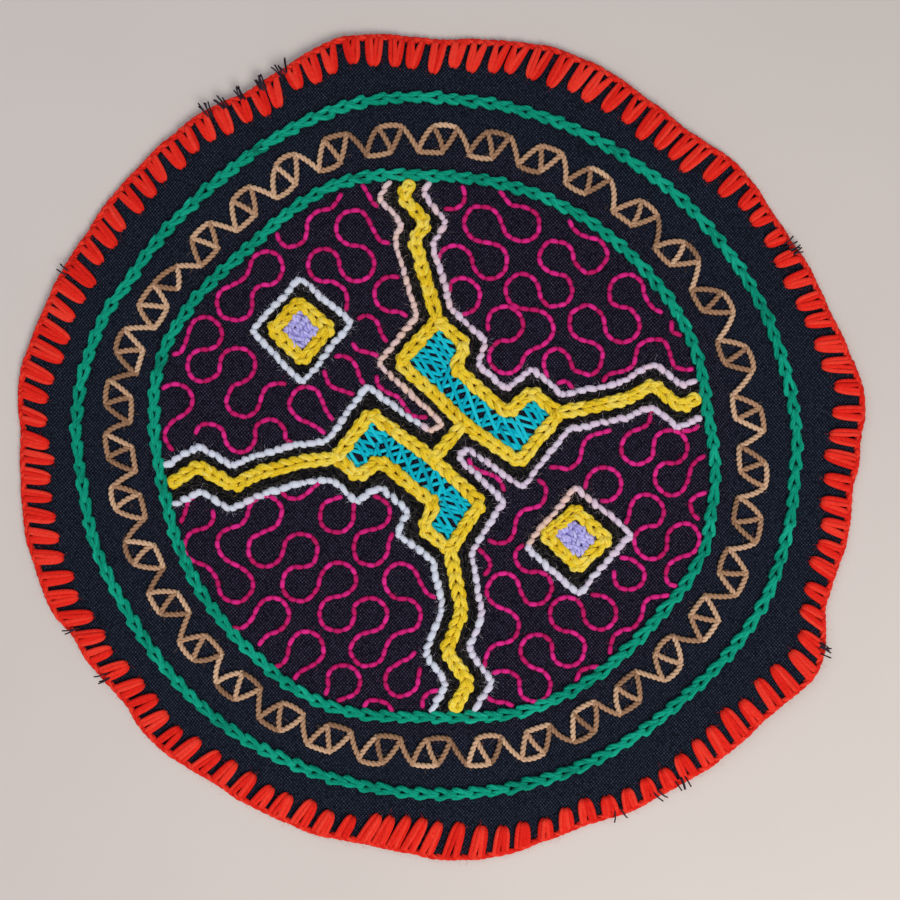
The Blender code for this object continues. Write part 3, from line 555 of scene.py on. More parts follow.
def box_middle():
    """The middle of the outline's box, which is the origin."""
    angles = np.arange(360)
    points = polar((0, 0), angles, around(RIM, "radius", angles))
    return (points.min(0) + points.max(0)) / 2


BOX_MIDDLE = box_middle()


def rim_points(angles, inset):
    """Points of the outline, or that far inside it."""
    return polar((0, 0), angles, around(RIM, "radius", angles) - inset) - BOX_MIDDLE


def lift(points):
    """How high the cloth's underside stands off the table."""
    x, y = points[..., 0], points[..., 1]
    share = (np.hypot(x, y) - FLAT_RADIUS) / (RIM_RADIUS - FLAT_RADIUS)
    angles = np.degrees(np.arctan2(y, x))
    total = np.zeros(x.shape)
    for row in RIM_LIFTS:
        away = np.abs(angles_past(angles, row.angle))
        hump = row.height * (1 + np.cos(np.pi * away / row.half_width)) / 2
        total += np.where(away < row.half_width, hump, 0)
    return eased(share) * total


def unevenness(points):
    """The small waves of a cloth that has been sewn through: tenths of a millimetre."""
    draw = chance("unevenness")
    total = np.zeros(points.shape[:-1])
    for wave in WAVE_LENGTHS:
        for _ in range(WAVES_EACH):
            angle, phase = draw.uniform(0, FULL_TURN, 2)
            way = np.array((math.cos(angle), math.sin(angle))) * FULL_TURN / wave
            total += np.sin(points @ way + phase) * wave * WAVE_HEIGHT
    return total


def ground(points):
    """The height of the cloth's top face above the table."""
    return lift(points) + CLOTH_THICK + unevenness(points)


def straight(rows, at):
    """The second column of a table at values of its first, on straight lines between its rows."""
    places, values = zip(*rows)
    return np.interp(at, places, values)


def raised(flat, high):
    """Points above places on the cloth, at those heights."""
    high = np.broadcast_to(high, flat.shape[:-1])
    return np.concatenate((flat, high[..., None]), -1)


def across(ways):
    """The directions to the left of flat ones."""
    return np.stack((-ways[..., 1], ways[..., 0]), -1)


def unit(vectors):
    """The vectors made one long."""
    return vectors / np.maximum(np.linalg.norm(vectors, axis=-1, keepdims=True), 1e-9)


def beside(line, offset, closed):
    """The line moved to its left with mitred corners. The offset is one number or one a point."""
    line = np.asarray(line, float)
    offsets = np.broadcast_to(offset, len(line))
    ways = unit(np.roll(line, -1, 0) - line)
    before, after = np.roll(ways, 1, 0), ways.copy()
    if not closed:
        before[0], after[-1] = after[0], before[-1]
    normals = across(before)
    mean = unit(normals + across(after))
    stretch = offsets / np.sum(mean * normals, -1)
    return line + mean * stretch[:, None]


def softened(line, cut, closed):
    """The line with its corners cut off, as a row of stitches turns them."""
    line = np.asarray(line, float)
    before = line + unit(np.roll(line, 1, 0) - line) * cut
    after = line + unit(np.roll(line, -1, 0) - line) * cut
    soft = np.stack((before, after), 1).reshape(-1, 2)
    if closed:
        return soft
    return np.concatenate((line[:1], soft[2:-2], line[-1:]))


def measured(line):
    """The distance of each point of a line from its start, along it."""
    steps = np.linalg.norm(np.diff(line, axis=-2), axis=-1)
    start = np.zeros(steps.shape[:-1] + (1,))
    return np.concatenate((start, np.cumsum(steps, -1)), -1)


def joints_of(line, pitch, closed):
    """Points about that far apart along a line, which meet each of its corners."""
    line = np.asarray(line, float)
    if closed:
        line = np.concatenate((line, line[:1]))
    joints = [line[:1]]
    for start, end in zip(line, line[1:]):
        count = max(1, round(np.linalg.norm(end - start) / pitch))
        shares = np.arange(1, count + 1)[:, None] / count
        joints.append(start + (end - start) * shares)
    return np.concatenate(joints)


def evenly(line, pitch):
    """Points about that far apart along a curved line, evenly, from end to end."""
    distances = measured(line)
    count = max(1, round(distances[-1] / pitch))
    at = np.linspace(0, distances[-1], count + 1)
    return np.stack([np.interp(at, distances, line[:, axis]) for axis in (0, 1)], -1)


def directions(paths):
    """The ways along a set of paths, and those to their left and upward."""
    ways = unit(np.gradient(paths, axis=1))
    flat = ways * (1, 1, 0)
    lefts = unit(np.cross(UP, flat))
    return ways, lefts, np.cross(ways, lefts)


def plied(paths, plies, spread, pitch, phases, squash=0.75):
    """The paths of the plies twisted round each path: all the first plies, then the second."""
    _, lefts, ups = directions(paths)
    turns = measured(paths) / pitch + phases[:, None]
    spread = np.broadcast_to(spread, paths.shape[:2])
    twisted = []
    for ply in range(plies):
        angles = FULL_TURN * (turns + ply / plies)
        side = (spread * np.cos(angles))[..., None]
        rise = (spread * squash * np.sin(angles))[..., None]
        twisted.append(paths + lefts * side + ups * rise)
    return np.concatenate(twisted)


def over_tubes(values, shape):
    """Values for all corners of tubes, from one value, one a tube or one a step of each tube."""
    values = np.asarray(values, float)
    if values.ndim < 2:
        values = values.reshape(-1, 1)
    return np.broadcast_to(values[..., None], shape)


class Strands:
    """Collects strands of yarn, each a tube, and makes one object of them."""

    def __init__(self):
        self.points, self.faces, self.yarn, self.tones = [], [], [], []
        self.count = 0

    def add(self, paths, wide, high, shades=0.5, tones=0.0, sides=6, shaded=True):
        """Adds a tube along each path. Half its width and half its height may vary along it.

        A shaded one gets painted shade on its sides and underside; a loose fibre doesn't.
        """
        strands, steps, _ = paths.shape
        paths = paths.copy()
        paths[..., 2] += ground(paths[..., :2])
        wide = np.broadcast_to(wide, (strands, steps))[..., None]
        high = np.broadcast_to(high, (strands, steps))[..., None]
        _, lefts, ups = directions(paths)
        turns = np.arange(sides) / sides
        angles = FULL_TURN * turns - np.pi / 2
        sideways = lefts[:, :, None] * (wide * np.cos(angles))[..., None]
        upward = ups[:, :, None] * (high * np.sin(angles))[..., None]
        shape = (strands, steps, sides)
        lengths = np.broadcast_to(measured(paths)[..., None], shape)
        flanks = np.broadcast_to(turns if shaded else 0.5, shape)
        marks = np.stack((lengths, flanks, over_tubes(shades, shape)), -1)
        numbers = self.count + np.arange(strands * steps * sides).reshape(shape)
        following = np.roll(numbers, -1, 2)
        quads = np.stack((numbers[:, :-1], following[:, :-1], following[:, 1:], numbers[:, 1:]), -1)
        self.faces += [quads.reshape(-1, 4), numbers[:, 0, ::-1], numbers[:, -1]]
        self.points.append((paths[:, :, None] + sideways + upward).reshape(-1, 3))
        self.yarn.append(marks.reshape(-1, 3))
        self.tones.append(over_tubes(tones, shape).reshape(-1))
        self.count += numbers.size

    def finish(self, name, material, slot, *nodes):
        """Makes one object of the strands, in place of those nodes."""
        mesh = mesh_of(name, np.concatenate(self.points), self.faces)
        marks = mesh.attributes.new("yarn", "FLOAT_VECTOR", "POINT")
        marks.data.foreach_set("vector", np.concatenate(self.yarn).astype(np.float32).ravel())
        tones = mesh.attributes.new("tone", "FLOAT", "POINT")
        tones.data.foreach_set("value", np.concatenate(self.tones).astype(np.float32))
        return piece_of(name, mesh, material, slot, *nodes)


def mesh_of(name, points, faces):
    """A mesh of points in millimetres and arrays of faces, each array with its own corners."""
    mesh = bpy.data.meshes.new(name)
    mesh.vertices.add(len(points))
    mesh.vertices.foreach_set("co", (points * METRES_PER_MM).astype(np.float32).ravel())
    corners = np.concatenate([part.ravel() for part in faces])
    sizes = np.concatenate([np.full(len(part), part.shape[1]) for part in faces])
    mesh.loops.add(len(corners))
    mesh.loops.foreach_set("vertex_index", corners.astype(np.int32))
    mesh.polygons.add(len(sizes))
    starts = np.cumsum(sizes) - sizes
    mesh.polygons.foreach_set("loop_start", starts.astype(np.int32))
    mesh.update(calc_edges=True)
    mesh.shade_smooth()
    return mesh


def in_scene(name, content, place=(0, 0, 0)):
    """An object in the scene that holds a mesh, a light or a camera."""
    thing = bpy.data.objects.new(name, content)
    thing.location = place
    bpy.context.scene.collection.objects.link(thing)
    return thing


def piece_of(name, mesh, material, slot, *nodes):
    """An object of that mesh, which rides on the root body and stands for those nodes."""
    mesh.materials.append(material)
    piece = in_scene(name, mesh)
    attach(piece, "root")
    if nodes:
        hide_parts(*nodes)
    return piece


def add_camera():
    """The camera looks straight down, as far off as makes the cloth fill the picture."""
    camera = bpy.data.cameras.new("camera")
    camera.lens = CAMERA_LENS
    camera.sensor_width = CAMERA_SENSOR
    bpy.context.scene.camera = in_scene("camera", camera, CAMERA_PLACE)


def add_light(lamp):
    """A soft square light that points at the cloth's middle."""
    light = bpy.data.lights.new(lamp.name, "AREA")
    light.size = lamp.size
    light.energy = lamp.power
    light.color = lamp.colour
    x, y, z = lamp.place
    tilt, turn = math.atan2(math.hypot(x, y), z), math.atan2(x, -y)
    in_scene(lamp.name, light, lamp.place).rotation_euler = (tilt, 0, turn)


def add_studio():
    """Soft daylight from below and the right, a cooler fill and an even pale surround."""
    for lamp in LIGHTS:
        add_light(lamp)
    world = bpy.data.worlds.new("surround")
    world.use_nodes = True
    background = world.node_tree.nodes["Background"]
    background.inputs["Color"].default_value = (*SURROUND_COLOUR, 1)
    background.inputs["Strength"].default_value = SURROUND_STRENGTH
    bpy.context.scene.world = world
    bpy.context.scene.view_settings.view_transform = "Standard"


class Nodes:
    """Builds a material's node tree in few words."""

    def __init__(self, name):
        self.material = bpy.data.materials.new(name)
        self.material.use_nodes = True
        self.tree = self.material.node_tree
        self.shader = self.tree.nodes["Principled BSDF"]

    def put(self, socket, value):
        """Links a socket to another, or gives it a value."""
        if isinstance(value, bpy.types.NodeSocket):
            self.tree.links.new(value, socket)
        else:
            socket.default_value = value

    def add(self, kind, settings=None, **inputs):
        """A node of that kind, with an underscore for each space in its inputs' names."""
        node = self.tree.nodes.new(kind)
        for key, value in (settings or {}).items():
            setattr(node, key, value)
        for key, value in inputs.items():
            self.put(node.inputs[key.replace("_", " ")], value)
        return node

    def math(self, operation, first, second=0.0, third=0.0):
        node = self.tree.nodes.new("ShaderNodeMath")
        node.operation = operation
        for socket, value in zip(node.inputs, (first, second, third)):
            self.put(socket, value)
        return node.outputs[0]

    def times(self, first, second):
        return self.math("MULTIPLY", first, second)

    def vector(self, x, y, z):
        return self.add("ShaderNodeCombineXYZ", X=x, Y=y, Z=z).outputs[0]

    def noise(self, vector, scale, detail=3.0, roughness=0.55):
        node = self.add("ShaderNodeTexNoise", Vector=vector, Scale=scale, Detail=detail,
                        Roughness=roughness)
        return node.outputs["Fac"]

    def mix(self, share, first, second, blend="MIX"):
        node = self.tree.nodes.new("ShaderNodeMix")
        node.data_type = "RGBA"
        node.blend_type = blend
        self.put(node.inputs[0], share)
        self.put(node.inputs[6], first)
        self.put(node.inputs[7], second)
        return node.outputs[2]

    def ramp(self, share, *stops):
        """A colour that goes from stop to stop, each a place and a colour."""
        node = self.tree.nodes.new("ShaderNodeValToRGB")
        elements = node.color_ramp.elements
        while len(elements) < len(stops):
            elements.new(0.5)
        for element, (place, colour) in zip(elements, stops):
            element.position = place
            element.color = (*colour, 1)
        self.put(node.inputs[0], share)
        return node.outputs[0]

    def bump(self, height, depth):
        """The normal of a relief that deep, in millimetres."""
        distance = depth * METRES_PER_MM
        node = self.add("ShaderNodeBump", Height=height, Distance=distance, Strength=1.0)
        return node.outputs[0]

    def finish(self, **inputs):
        for key, value in inputs.items():
            self.put(self.shader.inputs[key.replace("_", " ")], value)
        return self.material


def yarn_nodes(yarn):
    """Spun yarn's nodes: its fibres' relief, and its colour with painted shade on its flanks."""
    nodes = Nodes(yarn.name)
    marks = nodes.add("ShaderNodeAttribute", {"attribute_name": "yarn"}).outputs["Vector"]
    length, turn, shade = nodes.add("ShaderNodeSeparateXYZ", Vector=marks).outputs
    wound = nodes.math("MULTIPLY_ADD", length, FIBRE_TURNS, turn)
    spot = nodes.vector(nodes.times(length, STREAKS_ALONG), nodes.times(wound, yarn.fibre),
                        nodes.times(shade, SHADE_APART))
    streaks = nodes.noise(spot, STREAK_SCALE, 4.0, 0.65)
    place = nodes.add("ShaderNodeTexCoord").outputs["Object"]
    grain = nodes.noise(place, GRAIN_SCALE, 2.0, 0.6)
    height = nodes.math("MULTIPLY_ADD", grain, 0.3, streaks)
    tint = nodes.math("MULTIPLY_ADD", shade, 0.5, nodes.times(streaks, 0.8))
    colour = nodes.ramp(tint, (0.3, yarn.deep), (0.62, yarn.middle), (0.98, yarn.light))
    # Painted shade: each strand darker on its sides and darkest underneath, lightest on its top.
    flank = nodes.times(nodes.math("ABSOLUTE", nodes.math("SUBTRACT", turn, 0.5)), 2.0)
    dim = (yarn.shadow, yarn.shadow * 0.9, yarn.shadow * 0.9)
    half = tuple((1 + c) / 2 - 0.1 for c in dim)
    painted_flank_shade = nodes.ramp(flank, (0.28, (1, 1, 1)), (0.62, half), (0.9, dim))
    colour = nodes.mix(1.0, colour, painted_flank_shade, "MULTIPLY")
    nodes.finish(Normal=nodes.bump(height, yarn.depth), Roughness=0.9, Specular_IOR_Level=0.15)
    return nodes, colour


def yarn_material(yarn):
    """Spun yarn in its own colours, with painted shade on its flanks."""
    nodes, colour = yarn_nodes(yarn)
    return nodes.finish(Base_Color=colour)


def pale_material():
    """The pale yarn: bluish white, lilac or peach by its tone."""
    nodes, shades = yarn_nodes(PALE_YARN)
    tone = nodes.add("ShaderNodeAttribute", {"attribute_name": "tone"}).outputs["Fac"]
    tints = nodes.ramp(tone, *PALE_TINTS)
    return nodes.finish(Base_Color=nodes.mix(1.0, tints, shades, "MULTIPLY"))


def cloth_material():
    """Black cotton in plain weave, with painted highlights where its threads cross over."""
    nodes = Nodes("black_cotton")
    place = nodes.add("ShaderNodeTexCoord").outputs["Object"]
    wander = nodes.add("ShaderNodeTexNoise", Vector=place, Scale=WANDER_SCALE, Detail=2.0)
    drift = nodes.add("ShaderNodeVectorMath", {"operation": "MULTIPLY_ADD"})
    nodes.put(drift.inputs[0], wander.outputs["Color"])
    wander_by = WEAVE_WANDER * METRES_PER_MM
    drift.inputs[1].default_value = (wander_by, wander_by, 0)
    nodes.put(drift.inputs[2], place)
    x, y, _ = nodes.add("ShaderNodeSeparateXYZ", Vector=drift.outputs[0]).outputs
    warp = nodes.times(x, math.pi / (WARP_PITCH * METRES_PER_MM))
    weft = nodes.times(y, math.pi / (WEFT_PITCH * METRES_PER_MM))
    over = nodes.times(nodes.math("SINE", warp), nodes.math("SINE", weft))
    under = nodes.times(nodes.math("COSINE", warp), nodes.math("COSINE", weft))
    weave = nodes.math("MAXIMUM", nodes.math("ABSOLUTE", over), nodes.math("ABSOLUTE", under))
    specks = nodes.noise(place, SPECK_SCALE, 3.0, 0.7)
    # Painted highlight: the threads lighter where they cross over, more or less by the specks.
    crossing_highlight = nodes.times(nodes.math("POWER", weave, CROSSING_SHARPNESS),
                         nodes.math("MULTIPLY_ADD", specks, SPECK_CONTRAST, SPECK_FLOOR))
    middle = nodes.add("ShaderNodeVectorMath", {"operation": "LENGTH"}, Vector=place)
    outward = nodes.times(middle.outputs["Value"], 1 / (TINT_REACH * METRES_PER_MM))
    stops = [radius / TINT_REACH for radius in TINT_RADII]
    ground_tint = nodes.ramp(outward, *zip(stops, GROUND_TINTS))
    crossing_highlight_tint = nodes.ramp(outward, *zip(stops, CROSSING_HIGHLIGHT_TINTS))
    colour = nodes.mix(crossing_highlight, ground_tint, crossing_highlight_tint)
    relief = nodes.math("MULTIPLY_ADD", specks, 0.3, weave)
    return nodes.finish(Base_Color=colour, Normal=nodes.bump(relief, WEAVE_DEPTH), Roughness=0.9,
                        Specular_IOR_Level=0.05)


def floor_material():
    """A plain pale table with the faintest mottling."""
    nodes = Nodes("pale_floor")
    place = nodes.add("ShaderNodeTexCoord").outputs["Object"]
    mottle = nodes.noise(place, 9.0, 4.0)
    colour = nodes.mix(mottle, *((*colour, 1) for colour in FLOOR_COLOURS))
    return nodes.finish(Base_Color=colour, Roughness=0.6)


def add_floor():
    """A floor that reaches past what any view shows."""
    corners = np.array(((-1, -1, 0), (1, -1, 0), (1, 1, 0), (-1, 1, 0))) * FLOOR_HALF_SIZE
    mesh = mesh_of("floor", corners, [np.array([[0, 1, 2, 3]])])
    mesh.materials.append(floor_material())
    floor = in_scene("floor", mesh)


def add_cloth(material):
    """The cotton sheet: rings of points out along its top face and back along its underside."""
    angles = 360 * np.arange(RIM_STEPS) / RIM_STEPS
    rim = rim_points(angles, CLOTH_INSET)
    sections = []
    for share in np.linspace(CAP_SHARE, 1.0, SHEET_RINGS):
        flat = rim * share
        sections.append(raised(flat, ground(flat)))
    sections.append(raised(rim * HEM_BULGE, lift(rim) + CLOTH_THICK / 2))
    for share in np.linspace(1.0, CAP_SHARE, UNDERSIDE_RINGS):
        flat = rim * share
        sections.append(raised(flat, lift(flat) + UNDERSIDE_GAP))
    numbers = np.arange(len(sections) * RIM_STEPS).reshape(len(sections), RIM_STEPS)
    following = np.roll(numbers, -1, 1)
    quads = np.stack((numbers[:-1], numbers[1:], following[1:], following[:-1]), -1)
    caps = np.stack((numbers[0], numbers[-1, ::-1]))
    mesh = mesh_of("cloth_sheet", np.concatenate(sections), [quads.reshape(-1, 4), caps])
    return piece_of("cloth_sheet", mesh, material, "black_cotton", "cloth")


def loop_roots():
    """For each loop of the edging: where it roots, the way it points and how long it is."""
    numbers = np.arange(LOOPS)
    tips = straight(LOOP_PLACES, numbers)
    leans = np.radians(around(LOOP_FORMS, "lean", tips))
    depths = around(LOOP_FORMS, "depth", tips) - CORD_WIDTH
    depths += LOOP_DEPTH_VARIES * np.sin(LOOP_BEAT * numbers)
    angles = tips - np.degrees(depths * np.tan(leans) / RIM_RADIUS)
    turns = np.radians(angles + 180) - leans
    inward = np.stack((np.cos(turns), np.sin(turns)), -1)
    return angles, inward, depths / np.cos(leans)


def add_edging(material):
    """Scarlet blanket stitch: loops, the cord round the rim that they hang from and its knots."""
    draw = chance("edging")
    strands = Strands()
    angles, inward, lengths = loop_roots()
    lengths = lengths + draw.normal(*LOOP_LENGTH_CHANCE, LOOPS)
    angles = angles + draw.normal(0, LOOP_ANGLE_CHANCE, LOOPS)
    inward = unit(inward + across(inward) * draw.normal(0, LOOP_LEAN_CHANCE, (LOOPS, 1)))
    add_loops(strands, angles, inward, lengths, draw)
    add_rim_cord(strands)
    add_rim_knots(strands, angles, draw)
    add_fuzz(strands, rim_points(np.arange(0, 360, 0.5), 0.7), RIM_FUZZ, draw)
    strands.finish("edging_stitches", material, "scarlet_yarn", "edging")


def add_loops(strands, angles, inward, lengths, draw):
    """Each loop of the edging as a bundle of strands, which parts towards its root."""
    tips = rim_points(angles, CORD_WIDTH) + inward * lengths[:, None]
    steps = LOOP_STEPS
    spread = straight(LOOP_SPREAD, steps)
    radii = LOOP_STRAND_RADIUS * straight(LOOP_THICKNESS, steps)
    heights = LOOP_HIGH - LOOP_TIP_DIVE * bell(steps, 0.06)
    heights = heights - LOOP_ROOT_DIVE * eased((steps - 0.86) / 0.14)
    parted = bell(angles_past(angles, PARTED_ANGLE), PARTED_WIDTH)
    parting = (PARTED_EVERYWHERE + PARTED_MORE * parted) * draw.uniform(0.3, 1.2, LOOPS)
    opened = np.clip((steps - PARTS_FROM) / 0.5, 0, 1)
    apart = np.mod(np.roll(angles, -1) - np.roll(angles, 1), 360) / 2
    full = np.clip(apart / LOOP_APART, 0.72, 1.08) * draw.uniform(0.88, 1.08, LOOPS)
    for strand in LOOP_STRANDS:
        place = strand.place * LOOP_STRANDS_APART + draw.normal(0, 0.1, LOOPS)
        lateral = (place * full)[:, None] * spread + (strand.parts * parting)[:, None] * opened
        roots = rim_points(angles - np.degrees(lateral[:, -1] / RIM_RADIUS), 1.3)
        middle = tips[:, None] + (roots - tips)[:, None] * steps[:, None]
        lateral = lateral - lateral[:, -1:] * steps
        flat = middle + across(inward)[:, None] * lateral[..., None]
        high = heights + draw.normal(0, 0.07, LOOPS)[:, None] - 0.15 * (abs(strand.place) > 1)
        strands.add(raised(flat, high), radii * draw.uniform(0.9, 1.12, (LOOPS, 1)), radii * 0.85,
                    draw.uniform(0.25, 0.75, LOOPS))
        add_fuzz(strands, flat[:, 1:-3:3].reshape(-1, 2), LOOP_FUZZ, draw)


def add_rim_knots(strands, angles, draw):
    """The knot that each loop makes where it crosses the cord, lying along the rim."""
    half = np.degrees(draw.uniform(1.1, 1.6, LOOPS) / RIM_RADIUS)
    starts = rim_points(angles - half, draw.uniform(1.1, 1.6, LOOPS))
    ends = rim_points(angles + half, draw.uniform(0.5, 0.9, LOOPS))
    add_stitches(strands, starts, ends, RIM_KNOT, draw)


def add_rim_cord(strands):
    """The cord that the blanket stitch makes round the rim: three strands in a loose twist."""
    steps = LOOPS * CORD_STEPS_A_LOOP + 1
    shares = np.arange(steps) / (steps - 1)
    wobble = sum(row.height * np.sin(FULL_TURN * shares * row.count + row.start)
                 for row in CORD_WAVES)
    flat = rim_points(360 * shares, CORD_WIDTH * 0.5 + wobble)
    high = CORD_HIGH * 0.5 - CLOTH_THICK - 0.02 - unevenness(flat)
    path = raised(flat, high)[None]
    turns = shares * FULL_TURN * LOOPS + 1.3 * np.sin(FULL_TURN * shares * 29)
    _, lefts, ups = directions(path)
    for ply in range(CORD_PLIES):
        angle = turns + FULL_TURN * ply / CORD_PLIES
        offset = lefts * (CORD_PLY_ASIDE * np.cos(angle))[None, :, None]
        offset = offset + ups * (CORD_PLY_UP * np.sin(angle))[None, :, None]
        radius = CORD_PLY_RADIUS + 0.07 * np.sin(FULL_TURN * shares * LOOPS * 0.87 + ply)
        strands.add(path + offset, radius, radius, 0.3 + 0.2 * ply)


def add_chain(strands, joints, chain, draw):
    """Chain stitch: a loop of three-ply yarn from each joint round the next one and back."""
    starts, ends = joints[:-1], joints[1:]
    ways = ends - starts
    lengths = np.linalg.norm(ways, axis=-1)
    ways = ways / lengths[:, None]
    count = len(starts)
    overlap = chain.radius * CHAIN_OVERLAP
    turns = np.linspace(CHAIN_OPENING, FULL_TURN - CHAIN_OPENING, CHAIN_STEPS)
    reach = (lengths + overlap)[:, None] * (1 - np.cos(turns)) / 2
    reach = reach + draw.normal(0, 0.1, count)[:, None] * np.sin(turns / 2)
    swell = np.sign(np.sin(turns)) * np.abs(np.sin(turns)) ** 0.7
    swell = swell * (chain.waist + (1 - chain.waist) * np.sin(turns / 2) ** 4)
    swell = swell / swell.max()
    offset = swell * (chain.half_width - chain.radius) * draw.uniform(0.85, 1.12, (count, 1))
    offset = offset + draw.normal(0, 0.12, (count, 1)) * np.sin(turns / 2)
    rise = CHAIN_RISE * chain.radius * bell(reach - overlap, 0.75)
    dive = CHAIN_DIVE * chain.radius * bell(reach, 0.35)
    high = chain.radius * CHAIN_LIES + rise - dive
    flat = starts[:, None] + ways[:, None] * reach[..., None]
    flat = flat + across(ways)[:, None] * offset[..., None]
    plies = plied(raised(flat, high), CHAIN_PLIES, chain.radius * 0.4, CHAIN_TWIST_PITCH,
                  draw.uniform(0, 1, count), 0.7)
    shades = np.tile(draw.uniform(0.35, 0.65, count), CHAIN_PLIES)
    shades = shades + draw.normal(0, 0.14, len(shades))
    strands.add(plies, chain.radius * 0.63, chain.radius * 0.58, shades, sides=5)
    add_fuzz(strands, flat[:, ::3].reshape(-1, 2), CHAIN_FUZZ, draw)


def add_stitches(strands, starts, ends, form, draw, bow=0.0, tones=0.0):
    """Straight or bowed stitches that come up out of the cloth, swell and go down again."""
    count = len(starts)
    steps = np.linspace(0, 1, form.steps)
    ways = ends - starts
    hump = 4 * steps * (1 - steps)
    flat = starts[:, None] + ways[:, None] * steps[:, None]
    flat = flat + across(unit(ways))[:, None] * (np.reshape(bow, (-1, 1)) * hump)[..., None]
    paths = raised(flat, form.base + form.half_high * (form.dive + form.arch * hump**0.45))
    swell = form.taper + (1 - form.taper) * hump**0.5
    swell = swell * (1 + form.lumps * draw.normal(0, 1, flat.shape[:2]))
    wide, high = form.half_width * swell, form.half_high * swell
    # Painted shade: each stitch darker towards its ends, where it dives into the cloth.
    shades = draw.uniform(*form.shades, count)[:, None] - form.dim * (1 - hump) ** 3
    tones = np.broadcast_to(tones, count)
    if form.plies > 1:
        paths = plied(paths, form.plies, wide * 0.47, form.pitch, draw.uniform(0, 1, count))
        wide, high, shades = (
            np.tile(values, (form.plies, 1)) for values in (wide * 0.62, high * 0.62, shades))
    strands.add(paths, wide, high, shades, np.tile(tones, form.plies), form.sides)


def green_round(ring, angles):
    """Points of a green round, at angles from its own middle."""
    return polar(ring.middle, angles, around(ring.points, "radius", angles))


def add_rings(material):
    """The two rounds of green chain stitch, worked clockwise."""
    for ring in (OUTER_RING, INNER_RING):
        draw = chance(ring.name)
        places = np.arange(ring.links) + draw.uniform(-0.12, 0.12, ring.links)
        joints = green_round(ring, -360 * places / ring.links)
        strands = Strands()
        add_chain(strands, np.concatenate((joints, joints[:1])), GREEN_CHAIN, draw)
        strands.finish(f"{ring.name}_ring_stitches", material, "green_yarn", f"{ring.name}_ring")


def box_corners(angles, corner):
    """Where a corner of the zigzag's boxes comes between the two green rounds."""
    angles = angles - math.degrees(corner.along / ZIGZAG_RADIUS)
    inner, outer = green_round(INNER_RING, angles), green_round(OUTER_RING, angles)
    return inner + (outer - inner) * ZIGZAG_SHARE + unit(outer - inner) * corner.outward


def add_zigzag(material):
    """The tan cord: for each box six strokes of two-ply cord, and three for the half box."""
    draw = chance("zigzag")
    angles = straight(BOX_PLACES, np.arange(BOXES))
    corners = (INNER_BACK, OUTER_BACK, OUTER_FRONT, INNER_FRONT)
    inner_back, outer_back, outer_front, inner_front = (box_corners(angles, c) for c in corners)
    half = np.array([HALF_BOX_ANGLE])
    half_front, half_low = box_corners(half, HALF_BOX_FRONT), box_corners(half, HALF_BOX_LOW)
    starts = [inner_back, outer_back, outer_front, inner_front, outer_back, outer_front[:-1],
              outer_front[-1:], half_front, half_low, half_front]
    ends = [outer_back, outer_front, inner_front, inner_back, inner_front, inner_back[1:],
            half_front, half_low, outer_front[-1:], inner_back[:1]]
    starts = scattered(np.concatenate(starts), TAN_SCATTER, draw)
    ends = scattered(np.concatenate(ends), TAN_SCATTER, draw)
    past = unit(ends - starts) * STROKE_PAST_CORNER
    strands = Strands()
    add_stitches(strands, starts - past, ends + past, TAN_STROKE, draw,
                 bow=draw.normal(0.4, 0.2, len(starts)))
    for share in (0.2, 0.5, 0.8):
        add_fuzz(strands, starts + (ends - starts) * share, TAN_FUZZ, draw)
    strands.finish("zigzag_cord", material, "tan_cord", "zigzag_ring")


def inside_ring(point, stop):
    """Whether a point lies inside the inner green round by more than that."""
    x, y = point - np.array(INNER_RING.middle)
    radius = around(INNER_RING.points, "radius", math.degrees(math.atan2(y, x)))
    return math.hypot(x, y) < radius - GREEN_WIDTH / 2 - stop


def cut_at_ring(line, stop):
    """The line with its last stretch made to end that far inside the inner green round."""
    line = np.asarray(line, float)
    start, way = line[-2], unit(line[-1] - line[-2])
    reach = 0.0
    while inside_ring(start + way * reach, stop):
        reach += 0.05
    return np.concatenate((line[:-1], [start + way * reach]))


def add_yellow(material):
    """The yellow chain rows of the bars, the crosslink, the arms and the diamonds' rings."""
    rows = [(f"{name}_bar", list(bar.values()), True) for name, bar in BARS.items()]
    rows.append(("crosslink", (UPPER_BAR["link"], LOWER_BAR["link"]), False))
    rows += [(name, cut_at_ring(line, ARM_STOP), False) for name, line in ARMS.items()]
    for name, corners, closed in rows:
        line = softened(corners, YELLOW_CORNER_CUT, closed)
        draw = chance(name)
        strands = Strands()
        add_chain(strands, joints_of(line, YELLOW_PITCH, closed), YELLOW_CHAIN, draw)
        if name in ARMS:
            add_blunt_end(strands, line, draw)
        strands.finish(f"{name}_stitches", material, "yellow_yarn", name)
    for diamond in DIAMONDS:
        inner, outer = np.array(diamond.heart), np.array(diamond.ring_outside)
        line = softened(inner + (outer - inner) * RING_SHARE, RING_CORNER_CUT, True)
        strands = Strands()
        add_chain(strands, joints_of(line, RING_PITCH, True), YELLOW_CHAIN, chance(diamond.name))
        strands.finish(f"{diamond.name}_ring_stitches", material, "yellow_yarn",
                       f"{diamond.name}_ring")


def add_blunt_end(strands, line, draw):
    """Two short stitches side by side, which make the end of an arm blunt."""
    way = unit(line[-1] - line[-2])
    sides = across(way) * np.array(((-1.15,), (1.15,)))
    starts, ends = line[-1] - way * 1.8 + sides, line[-1] + way * 1.6 + sides * 0.8
    add_stitches(strands, starts, ends, BLUNT_STITCH, draw)


def clipped(outline, point, way):
    """The stretches of an endless line that lie inside a closed outline, as pairs of points."""
    outline = np.asarray(outline, float)
    normal = across(way)
    sides = (outline - point) @ normal
    along = (outline - point) @ way
    crossings = []
    for i in range(len(outline)):
        j = (i + 1) % len(outline)
        if (sides[i] < 0) != (sides[j] < 0):
            share = sides[i] / (sides[i] - sides[j])
            crossings.append(along[i] + (along[j] - along[i]) * share)
    crossings.sort()
    return [(point + way * a, point + way * b) for a, b in zip(crossings[::2], crossings[1::2])]


